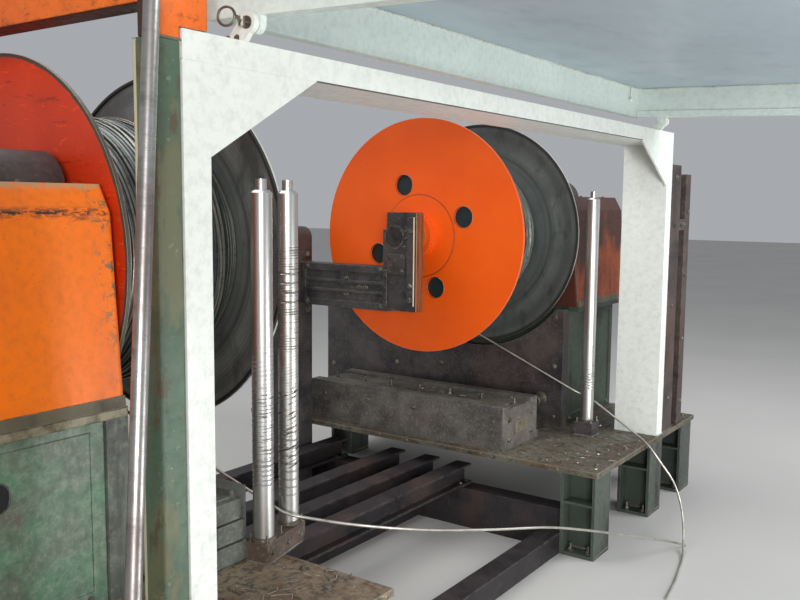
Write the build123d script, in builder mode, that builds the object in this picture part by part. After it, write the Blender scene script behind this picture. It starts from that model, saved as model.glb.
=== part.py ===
# Twin edge-trim winder of a slitting line, in millimetres.
# +X runs from the reels to the operator, +Y along the reel axis and +Z up.
# The origin is on the floor, under the reel axis and midway between the reels.
from build123d import *
from math import cos, radians, sin, tan
import os

# Reels: two alike, coloured flange on the -Y side
axis_z = 1464.0
reel_mid_y = 1147.0
traverse = 594.0
flange_t = 12.0
flange_r = 600.0
rear_flange_r = 612.0
bead_w = 9.0
bead_t = 7.0
hand_hole_r = 52.5
hand_hole_circle_r = 280.0
hand_hole_turn = 21.0
hand_holes = 4
boss_r = 210.0
boss_t = 6.0
drum_r = 200.0
hub_r = 110.0
hub_step_r = 80.0
hub_step_len = 56.0
shaft_r = 45.0
shaft_show = 6.0
coil_r = 444.0
coil_start_r = 405.0
coil_end_r = 352.0
coil_side_gap = 2.0
running_gap = 0.1
side_gap = 6.0

# Bearing heads and their arms, which stand between the reels
head_room = 214.0
head_inner_y = reel_mid_y - traverse / 2 - flange_t - head_room
head_t = 62.0
head_front_x = 126.0
head_back_x = -52.0
head_step_w = 23.0
head_top_z = 1586.0
head_step_top_z = 1500.0
head_low_z = 1095.0
head_edge_r = 6.0
cap_r = 60.0
cap_t = 10.0
seat_boss_r = 74.0
seat_boss_t = 26.0
arm_set_in = 16.0
arm_w = 95.0
arm_inner_y = head_inner_y + arm_set_in
arm_outer_y = arm_inner_y + arm_w
arm_low_z = 1085.0
arm_top_z = 1310.0
arm_panel_depth = 12.0
arm_panel_margin = 36.0
arm_rib_h = 14.0
arm_ribs = 2
arm_column_front_x = -640.0
arm_column_back_x = -900.0
arm_column_w = 175.0
arm_column_inner_y = arm_outer_y - arm_column_w
arm_column_top_z = 1500.0
arm_column_foot_t = 30.0
arm_column_foot_w = 60.0
arm_column_round = 60.0

# Tables on both sides of the pit; the left one is higher and reaches further forward
table_top_z = {"left": 521.0, "right": 420.0}
table_front_x = {"left": 1130.0, "right": 1050.0}
table_inner_y = {"left": 960.0, "right": 740.0}
table_plate_t = 12.0
table_lip_h = 14.0
table_lip_t = 12.0
table_back_x = -1120.0
table_outer_y = 2170.0
leg_depth = 170.0
leg_width = 180.0
leg_flange_t = 14.0
leg_web_t = 12.0
leg_foot_t = 16.0
outer_leg_row_y = (1563.0, 2064.0)

# Beams at the bottom of the pit
floor_beam_w = 110.0
floor_beam_h = 200.0
floor_tie_w = 100.0
floor_tie_h = 100.0
cross_beam_w = 90.0
cross_beam_h = 100.0
cross_beam_flange_t = 10.0
cross_beam_web_t = 10.0
cross_beam_x = (255.0, 60.0, -160.0, -560.0)

# Cast beds beside the pit
bed_set_back = 60.0
bed_w = 370.0
bed_h = 220.0
bed_back_x = -700.0
bed_front_x = {"left": 600.0, "right": 533.0}
bed_way_w = 70.0
bed_way_h = 16.0
bed_foot_w = 24.0
bed_foot_h = 36.0
bed_edge_r = 10.0

# Drive stations at the outer ends
drive_gap = 56.0
drive_inner_y = reel_mid_y + traverse / 2 + drive_gap
drive_outer_y = 2150.0
drive_wall_t = 72.0
drive_wall_inner_y = drive_inner_y - drive_wall_t
drive_wall_top_z = 1065.0
drive_wall_front_x = 550.0
drive_wall_gap = 28.0
base_front_x = 540.0
base_back_x = -1100.0
base_top_z = 1080.0
ledge_t = 25.0
ledge_front_x = 615.0
base_panel_depth = 6.0
base_panel_margin = 45.0
gearbox_front_x = 400.0
gearbox_back_x = -350.0
gearbox_top_z = 1768.0
gearbox_depth = 420.0
gearbox_round = 110.0
gearbox_foot_h = 36.0
gearbox_foot_w = 40.0
gearbox_rib_t = 16.0
gearbox_rib_w = 30.0
drive_bore_depth = 130.0
cover_top_x = 530.0
cover_top_z = 1675.0
cover_crease_x = 572.0
cover_crease_z = 1600.0
cover_low_x = 610.0
cover_round = 18.0
cover_overhang = 22.0

# Guard portal
portal_front_x = 1038.0
portal_back_x = 805.0
post_inner_y = 1560.0
post_w = 80.0
post_outer_y = post_inner_y + post_w
header_low_z = 1939.0
header_top_z = 2004.0
portal_plate_t = 8.0
portal_return = 90.0
gusset_w = 365.0
gusset_h = 208.0
gusset_t = 10.0

# Columns outside the portal
column_depth = 150.0
column_gap = 7.0
column_w = 143.0
column_inner_y = post_outer_y + column_gap
column_outer_y = column_inner_y + column_w
column_wall = 12.0
green_gap = 5.0
green_depth = 76.0
green_w = 69.0
green_wall = 6.0
green_inner_y = post_outer_y + green_gap
green_outer_y = green_inner_y + green_w
green_top_z = 1978.0
cap_block_lap = 75.0
cap_block_depth = 56.0
cap_block_inner_y = post_outer_y - cap_block_lap
cap_block_h = 126.0
cap_block_top_z = header_top_z + cap_block_h
top_beam_h = 80.0
top_beam_w = 73.0
rear_column_back_x = -1040.0
right_column_top_z = 1845.0
side_strap_len = 90.0
side_post_inner_y = column_outer_y + side_strap_len
side_post_w = 80.0
side_post_t = 10.0
side_post_top_z = 1800.0
side_bracket_z = 1500.0
side_bracket_h = 60.0

# Bar that leans on the green column
bar_r = 17.5
bar_foot_x = 1232.0
bar_foot_y = -2012.0
bar_top_x = 1051.1
bar_top_y = -1725.34
bar_top_z = 2126.24

# Guide rollers
roller_r = 33.0
roller_top_z = 1667.0
stub_r = 17.0
stub_top_z = 1700.0
roller_pin_r = 18.0
roller_neck_r = 25.0
roller_neck_h = 8.0
collar_r = 38.0
collar_h = 12.0
left_roller_gap = 33.0
left_roller_x = rear_flange_r + left_roller_gap + roller_r
left_roller_y = -1027.0
left_roller_pitch = 160.0
left_stand_turn = 13.0
left_stand_h = 64.0
left_stand_front = 38.0
left_stand_back = -38.0
left_stand_near = -38.0
left_stand_far = 200.0
left_stand_notch = 20.0
right_roller_gap = 75.0
right_roller_x = rear_flange_r + right_roller_gap + roller_r
right_roller_y = 1380.0
right_stand_h = 70.0
right_stand_w = 100.0
groove_depth = 2.6
groove_w = 7.0

# Guard door, raised; u runs forward from the hinge and w up from it
hinge_x = 1048.0
hinge_z = 2045.0
door_pitch = 1.9
door_side_gap = 129.0
door_half_w = post_inner_y - door_side_gap
door_back_u = -162.0
door_front_u = 1520.0
rim_t = 40.0
rim_low_w = 20.0
rim_top_w = 160.0
door_skin_t = 6.0
lug_r = 22.0
lug_t = 20.0
hinge_pin_r = 10.0
bracket_r = 24.0
bracket_t = 16.0
bracket_foot_x = 975.0
bracket_gap = 6.0

# Loose ends of the edge trims: points along each strand, free end last
strand_r = 5.0
strand_sides = 6
strand_bend_share = 0.45
strand_1_points = (
    (-194.7, -1160.0, 1059.3),
    (666.0, -915.6, 632.0),
    (718.0, -886.0, 622.0),
    (798.0, -767.0, 582.0),
    (861.0, -629.2, 541.4),
    (900.2, -508.3, 507.2),
    (933.6, -386.1, 474.0),
    (965.4, -263.4, 445.4),
    (998.2, -140.5, 417.0),
    (1035.2, -17.8, 392.0),
    (1075.8, 104.7, 369.1),
    (1111.7, 227.9, 337.9),
    (1137.7, 352.3, 298.7),
    (1159.5, 476.4, 258.2),
    (1182.4, 599.5, 216.4),
    (1204.8, 721.9, 174.7),
    (1228.7, 843.3, 133.5),
    (1257.4, 961.6, 93.5),
    (1289.7, 1078.9, 54.1),
    (1322.4, 1195.0, 4.4),
)
strand_2_points = (
    (-196.1, 1214.9, 1068.8),
    (640.0, 1402.0, 636.0),
    (690.0, 1428.0, 610.0),
    (748.0, 1428.0, 588.0),
    (852.0, 1390.0, 540.0),
    (945.0, 1372.0, 493.0),
    (1056.0, 1342.0, 440.0),
    (1109.0, 1330.0, 390.0),
    (1150.0, 1338.0, 335.0),
    (1210.0, 1340.0, 262.0),
    (1263.0, 1297.0, 170.0),
    (1298.0, 1237.0, 88.0),
    (1325.4, 1154.4, 32.3),
    (1354.0, 1057.0, 5.0),
    (1384.0, 922.0, 5.2),
    (1408.0, 792.0, 5.0),
    (1427.0, 667.0, 5.2),
    (1439.0, 562.0, 5.0),
)

sides = ((-1, "left"), (1, "right"))
stand_top_z = {"left": table_top_z["left"] + left_stand_h, "right": table_top_z["right"] + right_stand_h}


def keep(piece, label):
    """Name a finished piece and write it under that name."""
    piece.part.label = label
    export_step(piece.part, f"parts/{label}.step")


def block(x, y, z):
    """Add a plain block between the two values given on each axis."""
    with Locations((sum(x) / 2, sum(y) / 2, sum(z) / 2)):
        Box(abs(x[1] - x[0]), abs(y[1] - y[0]), abs(z[1] - z[0]))


def outward(side, y):
    """Sketch plane across the reel axis at the distance y from the middle, on one side."""
    return Plane.XZ.offset(-side * y)


# Reels


def disc(y, radius, label, coloured):
    """One flange whose -Y face lies at y."""
    with BuildPart() as flange:
        with BuildSketch(Plane.XZ.offset(-y)):
            with Locations((0, axis_z)):
                Circle(radius)
                Circle(hub_r, mode=Mode.SUBTRACT)
                with PolarLocations(hand_hole_circle_r, hand_holes, start_angle=hand_hole_turn):
                    Circle(hand_hole_r, mode=Mode.SUBTRACT)
        extrude(amount=-flange_t)
        if coloured:
            with BuildSketch(Plane.XZ.offset(-y)):
                with Locations((0, axis_z)):
                    Circle(boss_r)
                    Circle(hub_r, mode=Mode.SUBTRACT)
            extrude(amount=boss_t)
        else:
            with BuildSketch(Plane.XZ.offset(-y)):
                with Locations((0, axis_z)):
                    Circle(radius)
                    Circle(radius - bead_w, mode=Mode.SUBTRACT)
            extrude(amount=bead_t)
    keep(flange, label)


def core(side, label):
    """Shaft, stepped hubs and drum in one turned piece; its inner end lies in the bearing head."""
    near = reel_mid_y - traverse / 2
    far = reel_mid_y + traverse / 2
    hub_in = head_inner_y + head_t + seat_boss_t + side_gap
    hub_out = drive_inner_y - side_gap
    shaft_end = drive_inner_y + drive_bore_depth - side_gap
    with BuildPart() as turned:
        with BuildSketch(Plane.YZ):
            with BuildLine():
                Polyline(
                    (side * (head_inner_y - cap_t - shaft_show), axis_z),
                    (side * (head_inner_y - cap_t - shaft_show), axis_z + shaft_r),
                    (side * hub_in, axis_z + shaft_r),
                    (side * hub_in, axis_z + hub_step_r),
                    (side * (hub_in + hub_step_len), axis_z + hub_step_r),
                    (side * (hub_in + hub_step_len), axis_z + hub_r),
                    (side * near, axis_z + hub_r),
                    (side * near, axis_z + drum_r),
                    (side * far, axis_z + drum_r),
                    (side * far, axis_z + hub_r),
                    (side * hub_out, axis_z + hub_r),
                    (side * hub_out, axis_z + shaft_r),
                    (side * shaft_end, axis_z + shaft_r),
                    (side * shaft_end, axis_z),
                    close=True,
                )
            make_face()
        revolve(axis=Axis((0, 0, axis_z), (0, 1, 0)))
    keep(turned, label)


def coil(side, label):
    """Wound edge trim, fuller in the middle than at the flanges."""
    start = reel_mid_y - traverse / 2 + coil_side_gap
    end = reel_mid_y + traverse / 2 - coil_side_gap
    with BuildPart() as wound:
        with BuildSketch(Plane.YZ):
            with BuildLine():
                ThreePointArc(
                    (side * start, axis_z + coil_start_r),
                    (side * reel_mid_y, axis_z + coil_r),
                    (side * end, axis_z + coil_end_r),
                )
                Polyline(
                    (side * end, axis_z + coil_end_r),
                    (side * end, axis_z + drum_r),
                    (side * start, axis_z + drum_r),
                    (side * start, axis_z + coil_start_r),
                )
            make_face()
        revolve(axis=Axis((0, 0, axis_z), (0, 1, 0)))
    keep(wound, label)


def reels():
    for number, (side, _) in enumerate(sides, start=1):
        low_face = side * reel_mid_y - traverse / 2 - flange_t
        high_face = side * reel_mid_y + traverse / 2
        disc(low_face, flange_r, f"reel_{number}_front_flange", True)
        disc(high_face, rear_flange_r, f"reel_{number}_rear_flange", False)
        core(side, f"reel_{number}_core")
        coil(side, f"reel_{number}_coil")


# Bearing heads and arms


def bearing_head(side, name):
    step_x = head_back_x - head_step_w
    with BuildPart() as head:
        with BuildSketch(outward(side, head_inner_y)):
            with BuildLine():
                Polyline(
                    (head_back_x, head_low_z),
                    (head_front_x, head_low_z),
                    (head_front_x, head_top_z),
                    (head_back_x, head_top_z),
                    (head_back_x, head_step_top_z),
                    (step_x, head_step_top_z),
                    (step_x, arm_top_z),
                    (head_back_x, arm_top_z),
                    close=True,
                )
            make_face()
        extrude(amount=-side * head_t)
        fillet(head.edges().filter_by(Axis.Y).group_by(Axis.X)[-1], head_edge_r)
        with BuildSketch(outward(side, head_inner_y)):
            with Locations((0, axis_z)):
                Circle(cap_r)
        extrude(amount=side * cap_t)
        with BuildSketch(outward(side, head_inner_y + head_t)):
            with Locations((0, axis_z)):
                Circle(seat_boss_r)
        extrude(amount=-side * seat_boss_t)
        with BuildSketch(outward(side, head_inner_y - cap_t)):
            with Locations((0, axis_z)):
                Circle(shaft_r + running_gap)
        extrude(amount=-side * (cap_t + head_t + seat_boss_t), mode=Mode.SUBTRACT)
    keep(head, f"{name}_bearing_head")


def arm(side, name):
    """Box arm with a ribbed panel sunk into each face."""
    length = head_back_x - arm_column_front_x
    height = arm_top_z - arm_low_z
    mid_x = (head_back_x + arm_column_front_x) / 2
    mid_z = (arm_top_z + arm_low_z) / 2
    panel_h = height - 2 * arm_panel_margin
    faces = ((arm_inner_y, -side), (arm_outer_y, side))
    with BuildPart() as beam:
        beam_y = (side * arm_inner_y, side * arm_outer_y)
        block((arm_column_front_x, head_back_x), beam_y, (arm_low_z, arm_top_z))
        for face_y, inward in faces:
            with BuildSketch(outward(side, face_y)):
                with Locations((mid_x, mid_z)):
                    Rectangle(length - 2 * arm_panel_margin, panel_h)
                with Locations((mid_x, mid_z)):
                    with GridLocations(0, panel_h / (arm_ribs + 1), 1, arm_ribs):
                        Rectangle(length - 2 * arm_panel_margin, arm_rib_h, mode=Mode.SUBTRACT)
            extrude(amount=inward * arm_panel_depth, mode=Mode.SUBTRACT)
    keep(beam, f"{name}_arm")


def arm_column(side, name):
    """Rear column with a rounded top, a foot flange and the face that the arm bolts to."""
    mid_x = (arm_column_front_x + arm_column_back_x) / 2
    mid_y = side * (arm_column_inner_y + arm_outer_y) / 2
    depth = arm_column_front_x - arm_column_back_x
    width = arm_outer_y - arm_column_inner_y
    with BuildPart() as column:
        with BuildSketch(outward(side, arm_column_inner_y)):
            with Locations((mid_x, arm_column_top_z / 2)):
                Rectangle(depth, arm_column_top_z)
            fillet(vertices().group_by(Axis.Z)[-1], arm_column_round)
        extrude(amount=-side * width)
        block(
            (arm_column_back_x - arm_column_foot_w, arm_column_front_x + arm_column_foot_w),
            (mid_y - width / 2, mid_y + width / 2),
            (0, arm_column_foot_t),
        )
    keep(column, f"{name}_arm_column")


# Tables, legs and beams


def table_top(side, name):
    """Worn plate with a lip folded down all round."""
    y = (side * table_inner_y[name], side * table_outer_y)
    plate_low_z = table_top_z[name] - table_plate_t
    length = table_front_x[name] - table_back_x
    width = table_outer_y - table_inner_y[name]
    with BuildPart() as table:
        block((table_back_x, table_front_x[name]), y, (plate_low_z, table_top_z[name]))
        with BuildSketch(Plane.XY.offset(plate_low_z)):
            with Locations(((table_front_x[name] + table_back_x) / 2, sum(y) / 2)):
                Rectangle(length, width)
                Rectangle(length - 2 * table_lip_t, width - 2 * table_lip_t, mode=Mode.SUBTRACT)
        extrude(amount=-table_lip_h)
    keep(table, f"{name}_table_top")


def leg_xs(name):
    """Middle of the front and the rear row of legs."""
    set_back = table_lip_t + leg_depth / 2
    return table_back_x + set_back, table_front_x[name] - set_back


def inner_leg_y(name):
    """Distance of the inner legs from the middle of the line."""
    return table_inner_y[name] + table_lip_t + leg_width / 2


def table_legs(side, name):
    """Wide-flange legs, each with a foot plate."""
    rows = (inner_leg_y(name), *outer_leg_row_y)
    spots = [(x, side * y) for x in leg_xs(name) for y in rows]
    with BuildPart() as legs:
        with BuildSketch(Plane.XY):
            with Locations(*spots):
                Rectangle(leg_depth, leg_width)
                Rectangle(leg_depth - 2 * leg_flange_t, leg_width, mode=Mode.SUBTRACT)
            with Locations(*spots):
                Rectangle(leg_depth, leg_web_t)
        extrude(amount=table_top_z[name] - table_plate_t)
        with BuildSketch(Plane.XY):
            with Locations(*spots):
                Rectangle(leg_depth, leg_width)
        extrude(amount=leg_foot_t)
    keep(legs, f"{name}_table_legs")


def floor_beams():
    """A long beam between the inner legs of each table, and two ties across the pit."""
    for side, name in sides:
        rear_x, front_x = leg_xs(name)
        x = (rear_x + leg_depth / 2, front_x - leg_depth / 2)
        y = (side * (inner_leg_y(name) - floor_beam_w / 2), side * (inner_leg_y(name) + floor_beam_w / 2))
        with BuildPart() as beam:
            block(x, y, (0, floor_beam_h))
        keep(beam, f"{name}_floor_beam")
    front_x = leg_xs("right")[1] - leg_depth / 2
    tie_y = (-inner_leg_y("left") + floor_beam_w / 2, inner_leg_y("right") - floor_beam_w / 2)
    with BuildPart() as ties:
        for mid_x in (front_x - floor_tie_w / 2, 0):
            block((mid_x - floor_tie_w / 2, mid_x + floor_tie_w / 2), tie_y, (0, floor_tie_h))
    keep(ties, "floor_ties")


def cross_beams():
    """Wide-flange beams that lie on the two floor beams."""
    left_end = -inner_leg_y("left") - floor_beam_w / 2
    right_end = inner_leg_y("right") + floor_beam_w / 2
    spots = [(x, floor_beam_h + cross_beam_h / 2) for x in cross_beam_x]
    with BuildPart() as beams:
        with BuildSketch(Plane.XZ.offset(-right_end)):
            with Locations(*spots):
                Rectangle(cross_beam_w, cross_beam_h)
                Rectangle(cross_beam_w, cross_beam_h - 2 * cross_beam_flange_t, mode=Mode.SUBTRACT)
            with Locations(*spots):
                Rectangle(cross_beam_web_t, cross_beam_h)
        extrude(amount=right_end - left_end)
    keep(beams, "cross_beams")


def bed(side, name):
    """Cast bed with a foot flange and two raised ways on top."""
    low_z = table_top_z[name]
    body_top = low_z + bed_h - bed_way_h
    inner = table_inner_y[name] + bed_set_back
    outer = inner + bed_w
    with BuildPart() as casting:
        with BuildSketch(Plane.YZ.offset(bed_back_x)):
            with BuildLine():
                Polyline(
                    (side * inner, low_z),
                    (side * inner, body_top),
                    (side * outer, body_top),
                    (side * outer, low_z + bed_foot_h),
                    (side * (outer + bed_foot_w), low_z + bed_foot_h),
                    (side * (outer + bed_foot_w), low_z),
                    close=True,
                )
            make_face()
            with Locations(
                (side * (inner + bed_way_w / 2), body_top + bed_way_h / 2),
                (side * (outer - bed_way_w / 2), body_top + bed_way_h / 2),
            ):
                Rectangle(bed_way_w, bed_way_h)
        extrude(amount=bed_front_x[name] - bed_back_x)
        fillet(casting.edges().filter_by(Axis.Z).group_by(Axis.X)[-1], bed_edge_r)
    keep(casting, f"{name}_bed")


# Drive stations


def drive_base(side, name):
    """Long machine base with a sunk front panel and a ledge under the cover."""
    low_z = table_top_z[name]
    ledge_z = base_top_z - ledge_t
    y = (side * drive_inner_y, side * drive_outer_y)
    width = drive_outer_y - drive_inner_y
    with BuildPart() as base:
        block((base_back_x, base_front_x), y, (low_z, base_top_z))
        block((base_back_x, ledge_front_x), y, (ledge_z, base_top_z))
        lip_y = (side * (drive_inner_y - cover_overhang), side * drive_inner_y)
        block((drive_wall_front_x, ledge_front_x), lip_y, (ledge_z, base_top_z))
        with BuildSketch(Plane.YZ.offset(base_front_x)):
            with Locations((sum(y) / 2, (low_z + ledge_z) / 2)):
                Rectangle(width - 2 * base_panel_margin, ledge_z - low_z - 2 * base_panel_margin)
        extrude(amount=-base_panel_depth, mode=Mode.SUBTRACT)
    keep(base, f"{name}_drive_base")


def drive_wall(side, name):
    """End wall beside the reel, cut out round the flange."""
    low_z = table_top_z[name]
    mid = ((base_back_x + drive_wall_front_x) / 2, (low_z + drive_wall_top_z) / 2)
    with BuildPart() as wall:
        with BuildSketch(outward(side, drive_wall_inner_y)):
            with Locations(mid):
                Rectangle(drive_wall_front_x - base_back_x, drive_wall_top_z - low_z)
            with Locations((0, axis_z)):
                Circle(rear_flange_r + drive_wall_gap, mode=Mode.SUBTRACT)
        extrude(amount=-side * (drive_inner_y - drive_wall_inner_y))
    keep(wall, f"{name}_drive_wall")


def gearbox(side, name):
    """Housing with rounded shoulders, a foot flange, two ribs and the bore for the reel shaft."""
    width = gearbox_front_x - gearbox_back_x
    mid_x = (gearbox_front_x + gearbox_back_x) / 2
    height = gearbox_top_z - base_top_z
    with BuildPart() as housing:
        with BuildSketch(outward(side, drive_inner_y)):
            with Locations((mid_x, base_top_z + height / 2)):
                Rectangle(width, height)
            fillet(vertices().group_by(Axis.Z)[-1], gearbox_round)
        extrude(amount=-side * gearbox_depth)
        with BuildSketch(outward(side, drive_inner_y)):
            with Locations((mid_x - gearbox_foot_w / 2, base_top_z + gearbox_foot_h / 2)):
                Rectangle(width + gearbox_foot_w, gearbox_foot_h)
        extrude(amount=-side * (gearbox_depth + gearbox_foot_w))
        with BuildSketch(outward(side, drive_inner_y + gearbox_depth)):
            with Locations((mid_x, base_top_z + height / 2)):
                with GridLocations(width / 2, 0, 2, 1):
                    Rectangle(gearbox_rib_t, height - gearbox_round)
        extrude(amount=-side * gearbox_rib_w)
        with BuildSketch(outward(side, drive_inner_y)):
            with Locations((0, axis_z)):
                Circle(shaft_r + running_gap)
        extrude(amount=-side * drive_bore_depth, mode=Mode.SUBTRACT)
    keep(housing, f"{name}_gearbox")


def drive_cover(side, name):
    """Cover with a creased, sloping front; the bends beside the reel are rounded."""
    inner_y = drive_inner_y - cover_overhang
    with BuildPart() as cover:
        with BuildSketch(outward(side, inner_y)):
            with BuildLine():
                Polyline(
                    (gearbox_front_x, base_top_z),
                    (cover_low_x, base_top_z),
                    (cover_crease_x, cover_crease_z),
                    (cover_top_x, cover_top_z),
                    (gearbox_front_x, cover_top_z),
                    close=True,
                )
            make_face()
        extrude(amount=-side * (drive_outer_y - inner_y))
        near = cover.edges().filter_by(lambda e: abs(e.center().Y - side * inner_y) < running_gap)
        fillet(near.filter_by(lambda e: e.center().X > cover_top_x), cover_round)
    keep(cover, f"{name}_drive_cover")


# Guard portal


def portal():
    """Posts and header of folded plate: a front, a deep inner return and a short outer one."""
    front = (portal_front_x - portal_plate_t, portal_front_x)
    deep = (portal_back_x, portal_front_x)
    short = (portal_front_x - portal_return, portal_front_x)
    return_y = post_inner_y + portal_plate_t
    for side, name in sides:
        z = (table_top_z[name], header_low_z)
        with BuildPart() as post:
            block(front, (side * post_inner_y, side * post_outer_y), z)
            block(deep, (side * post_inner_y, side * return_y), z)
            block(short, (side * (post_outer_y - portal_plate_t), side * post_outer_y), z)
        keep(post, f"portal_{name}_post")
    with BuildPart() as header:
        block(front, (-post_outer_y, post_outer_y), (header_low_z, header_top_z))
        block(deep, (-return_y, return_y), (header_low_z, header_low_z + portal_plate_t))
        block(short, (-post_outer_y, post_outer_y), (header_top_z - portal_plate_t, header_top_z))
    keep(header, "portal_header")
    with BuildPart() as gussets:
        for side, _ in sides:
            with BuildSketch(Plane.YZ.offset(portal_front_x - gusset_t)):
                with BuildLine():
                    Polyline(
                        (side * post_inner_y, header_low_z),
                        (side * (post_inner_y - gusset_w), header_low_z),
                        (side * post_inner_y, header_low_z - gusset_h),
                        close=True,
                    )
                make_face()
            extrude(amount=gusset_t)
    keep(gussets, "portal_gussets")


# Columns outside the portal


def box_column(x, y, z, wall, label):
    """Open-ended box section standing on end."""
    mid = (sum(x) / 2, sum(y) / 2)
    depth = abs(x[1] - x[0])
    width = abs(y[1] - y[0])
    with BuildPart() as column:
        with BuildSketch(Plane.XY.offset(z[0])):
            with Locations(mid):
                Rectangle(depth, width)
                Rectangle(depth - 2 * wall, width - 2 * wall, mode=Mode.SUBTRACT)
        extrude(amount=z[1] - z[0])
    keep(column, label)


def columns():
    front = (portal_front_x - green_depth, portal_front_x)
    rear = (rear_column_back_x, rear_column_back_x + green_depth)
    left_y = (-green_outer_y, -green_inner_y)
    beam_z = (cap_block_top_z - top_beam_h, cap_block_top_z)
    box_column(front, left_y, (table_top_z["left"], green_top_z), green_wall, "left_column")
    box_column(rear, left_y, (base_top_z, beam_z[0]), green_wall, "left_rear_column")
    right_x = (portal_front_x - column_depth, portal_front_x)
    right_y = (column_inner_y, column_outer_y)
    box_column(right_x, right_y, (table_top_z["right"], right_column_top_z), column_wall, "right_column")
    cap_x = (portal_front_x - cap_block_depth, portal_front_x)
    with BuildPart() as cap:
        block(cap_x, (-green_outer_y, -cap_block_inner_y), (header_top_z, cap_block_top_z))
        block(cap_x, left_y, (green_top_z, header_top_z))
    keep(cap, "left_column_cap")
    with BuildPart() as beam:
        block((rear_column_back_x, cap_x[0]), (-green_outer_y, -green_outer_y + top_beam_w), beam_z)
    keep(beam, "top_beam")


def side_post():
    """Angle post outside the dark column, with the strap that joins the two."""
    x = (portal_front_x - side_post_w, portal_front_x)
    y = (side_post_inner_y, side_post_inner_y + side_post_w)
    with BuildPart() as post:
        with BuildSketch(Plane.XY.offset(table_top_z["right"])):
            with Locations((sum(x) / 2, sum(y) / 2)):
                Rectangle(side_post_w, side_post_w)
            with Locations((sum(x) / 2 - side_post_t, sum(y) / 2 + side_post_t)):
                Rectangle(side_post_w, side_post_w, mode=Mode.SUBTRACT)
        extrude(amount=side_post_top_z - table_top_z["right"])
    keep(post, "right_side_post")
    with BuildPart() as strap:
        block(
            (portal_front_x - side_post_t, portal_front_x),
            (column_outer_y, side_post_inner_y),
            (side_bracket_z, side_bracket_z + side_bracket_h),
        )
    keep(strap, "right_side_strap")


def leaning_bar():
    top = Vector(bar_top_x, bar_top_y, bar_top_z)
    tilt = radians((top - Vector(bar_foot_x, bar_foot_y, 0)).get_angle(Vector(0, 0, 1)))
    with BuildPart() as bar:
        with BuildLine():
            run = Line((bar_foot_x, bar_foot_y, bar_r * sin(tilt)), top)
        with BuildSketch(Plane(origin=run @ 0, z_dir=run % 0)):
            Circle(bar_r)
        sweep()
    keep(bar, "leaning_bar")


# Guide rollers


def left_roller_spots():
    """Axes of the two left guide rollers; the row is turned a little off the reel axis."""
    turn = radians(left_stand_turn)
    step = (-left_roller_pitch * sin(turn), left_roller_pitch * cos(turn))
    first = (left_roller_x, left_roller_y)
    return first, (first[0] + step[0], first[1] + step[1])


def roller_stands():
    pin_hole_r = roller_pin_r + running_gap
    row = ((0, 0), (0, left_roller_pitch))
    with BuildPart() as left:
        block(
            (left_stand_back, left_stand_front),
            (left_stand_near, left_stand_far),
            (table_top_z["left"], stand_top_z["left"]),
        )
        far_low = left.edges().filter_by(Axis.X).group_by(Axis.Y)[-1].sort_by(Axis.Z)[0]
        chamfer(far_low, left_stand_notch)
        stand_collars(stand_top_z["left"], row)
        with BuildSketch(Plane.XY.offset(stand_top_z["left"] + collar_h)):
            with Locations(*row):
                Circle(pin_hole_r)
        extrude(amount=-(left_stand_h + collar_h), mode=Mode.SUBTRACT)
    left.part.location = Location((left_roller_x, left_roller_y, 0), (0, 0, left_stand_turn))
    keep(left, "left_roller_stand")
    with BuildPart() as right:
        half = right_stand_w / 2
        block(
            (right_roller_x - half, right_roller_x + half),
            (right_roller_y - half, right_roller_y + half),
            (table_top_z["right"], stand_top_z["right"]),
        )
        stand_collars(stand_top_z["right"], ((right_roller_x, right_roller_y),))
        with BuildSketch(Plane.XY.offset(stand_top_z["right"] + collar_h)):
            with Locations((right_roller_x, right_roller_y)):
                Circle(pin_hole_r)
        extrude(amount=-(left_stand_h + collar_h), mode=Mode.SUBTRACT)
    keep(right, "right_roller_stand")


def stand_collars(top_z, spots):
    """Add the clamp collars round the roller pins."""
    with Locations(*[(x, y, top_z + collar_h / 2) for x, y in spots]):
        Cylinder(collar_r, collar_h)


def groove_points(foot_z, heights):
    """Outline of worn grooves up the side of a roller, as pairs of radius and height."""
    points = []
    for height in heights:
        points.append((roller_r, foot_z + height - groove_w / 2))
        points.append((roller_r - groove_depth, foot_z + height))
        points.append((roller_r, foot_z + height + groove_w / 2))
    return points


def roller(x, y, stand, heights, label):
    """Turned guide roller: pin below, grooved body and a stub on top."""
    foot_z = stand_top_z[stand] + collar_h
    pin_low_z = stand_top_z[stand] - left_stand_h + side_gap
    with BuildPart() as turned:
        with BuildSketch(Plane.XZ):
            with BuildLine():
                Polyline(
                    (0, pin_low_z),
                    (roller_pin_r, pin_low_z),
                    (roller_pin_r, foot_z + running_gap),
                    (roller_r, foot_z + running_gap),
                    *groove_points(foot_z, heights),
                    (roller_r, roller_top_z - roller_neck_h),
                    (roller_neck_r, roller_top_z),
                    (stub_r, roller_top_z),
                    (stub_r, stub_top_z),
                    (0, stub_top_z),
                    close=True,
                )
            make_face()
        revolve(axis=Axis.Z)
    turned.part.position = (x, y, 0)
    keep(turned, label)


def rollers():
    low_band = [170 + 15 * i for i in range(6)]
    worn_band = [90 + 26 * i for i in range(9)]
    upper_band = [720 + 30 * i for i in range(4)]
    first, second = left_roller_spots()
    roller(*first, "left", low_band, "left_roller_1")
    roller(*second, "left", worn_band + upper_band, "left_roller_2")
    roller(right_roller_x, right_roller_y, "right", low_band, "right_roller")


# Guard door


def door_plane(w):
    """Plane of the raised door at the height w above the hinge, tipped by its pitch."""
    tip = radians(door_pitch)
    normal = (sin(tip), 0, cos(tip))
    origin = (hinge_x + w * normal[0], 0, hinge_z + w * normal[2])
    return Plane(origin=origin, x_dir=(cos(tip), 0, -sin(tip)), z_dir=normal)


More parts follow.
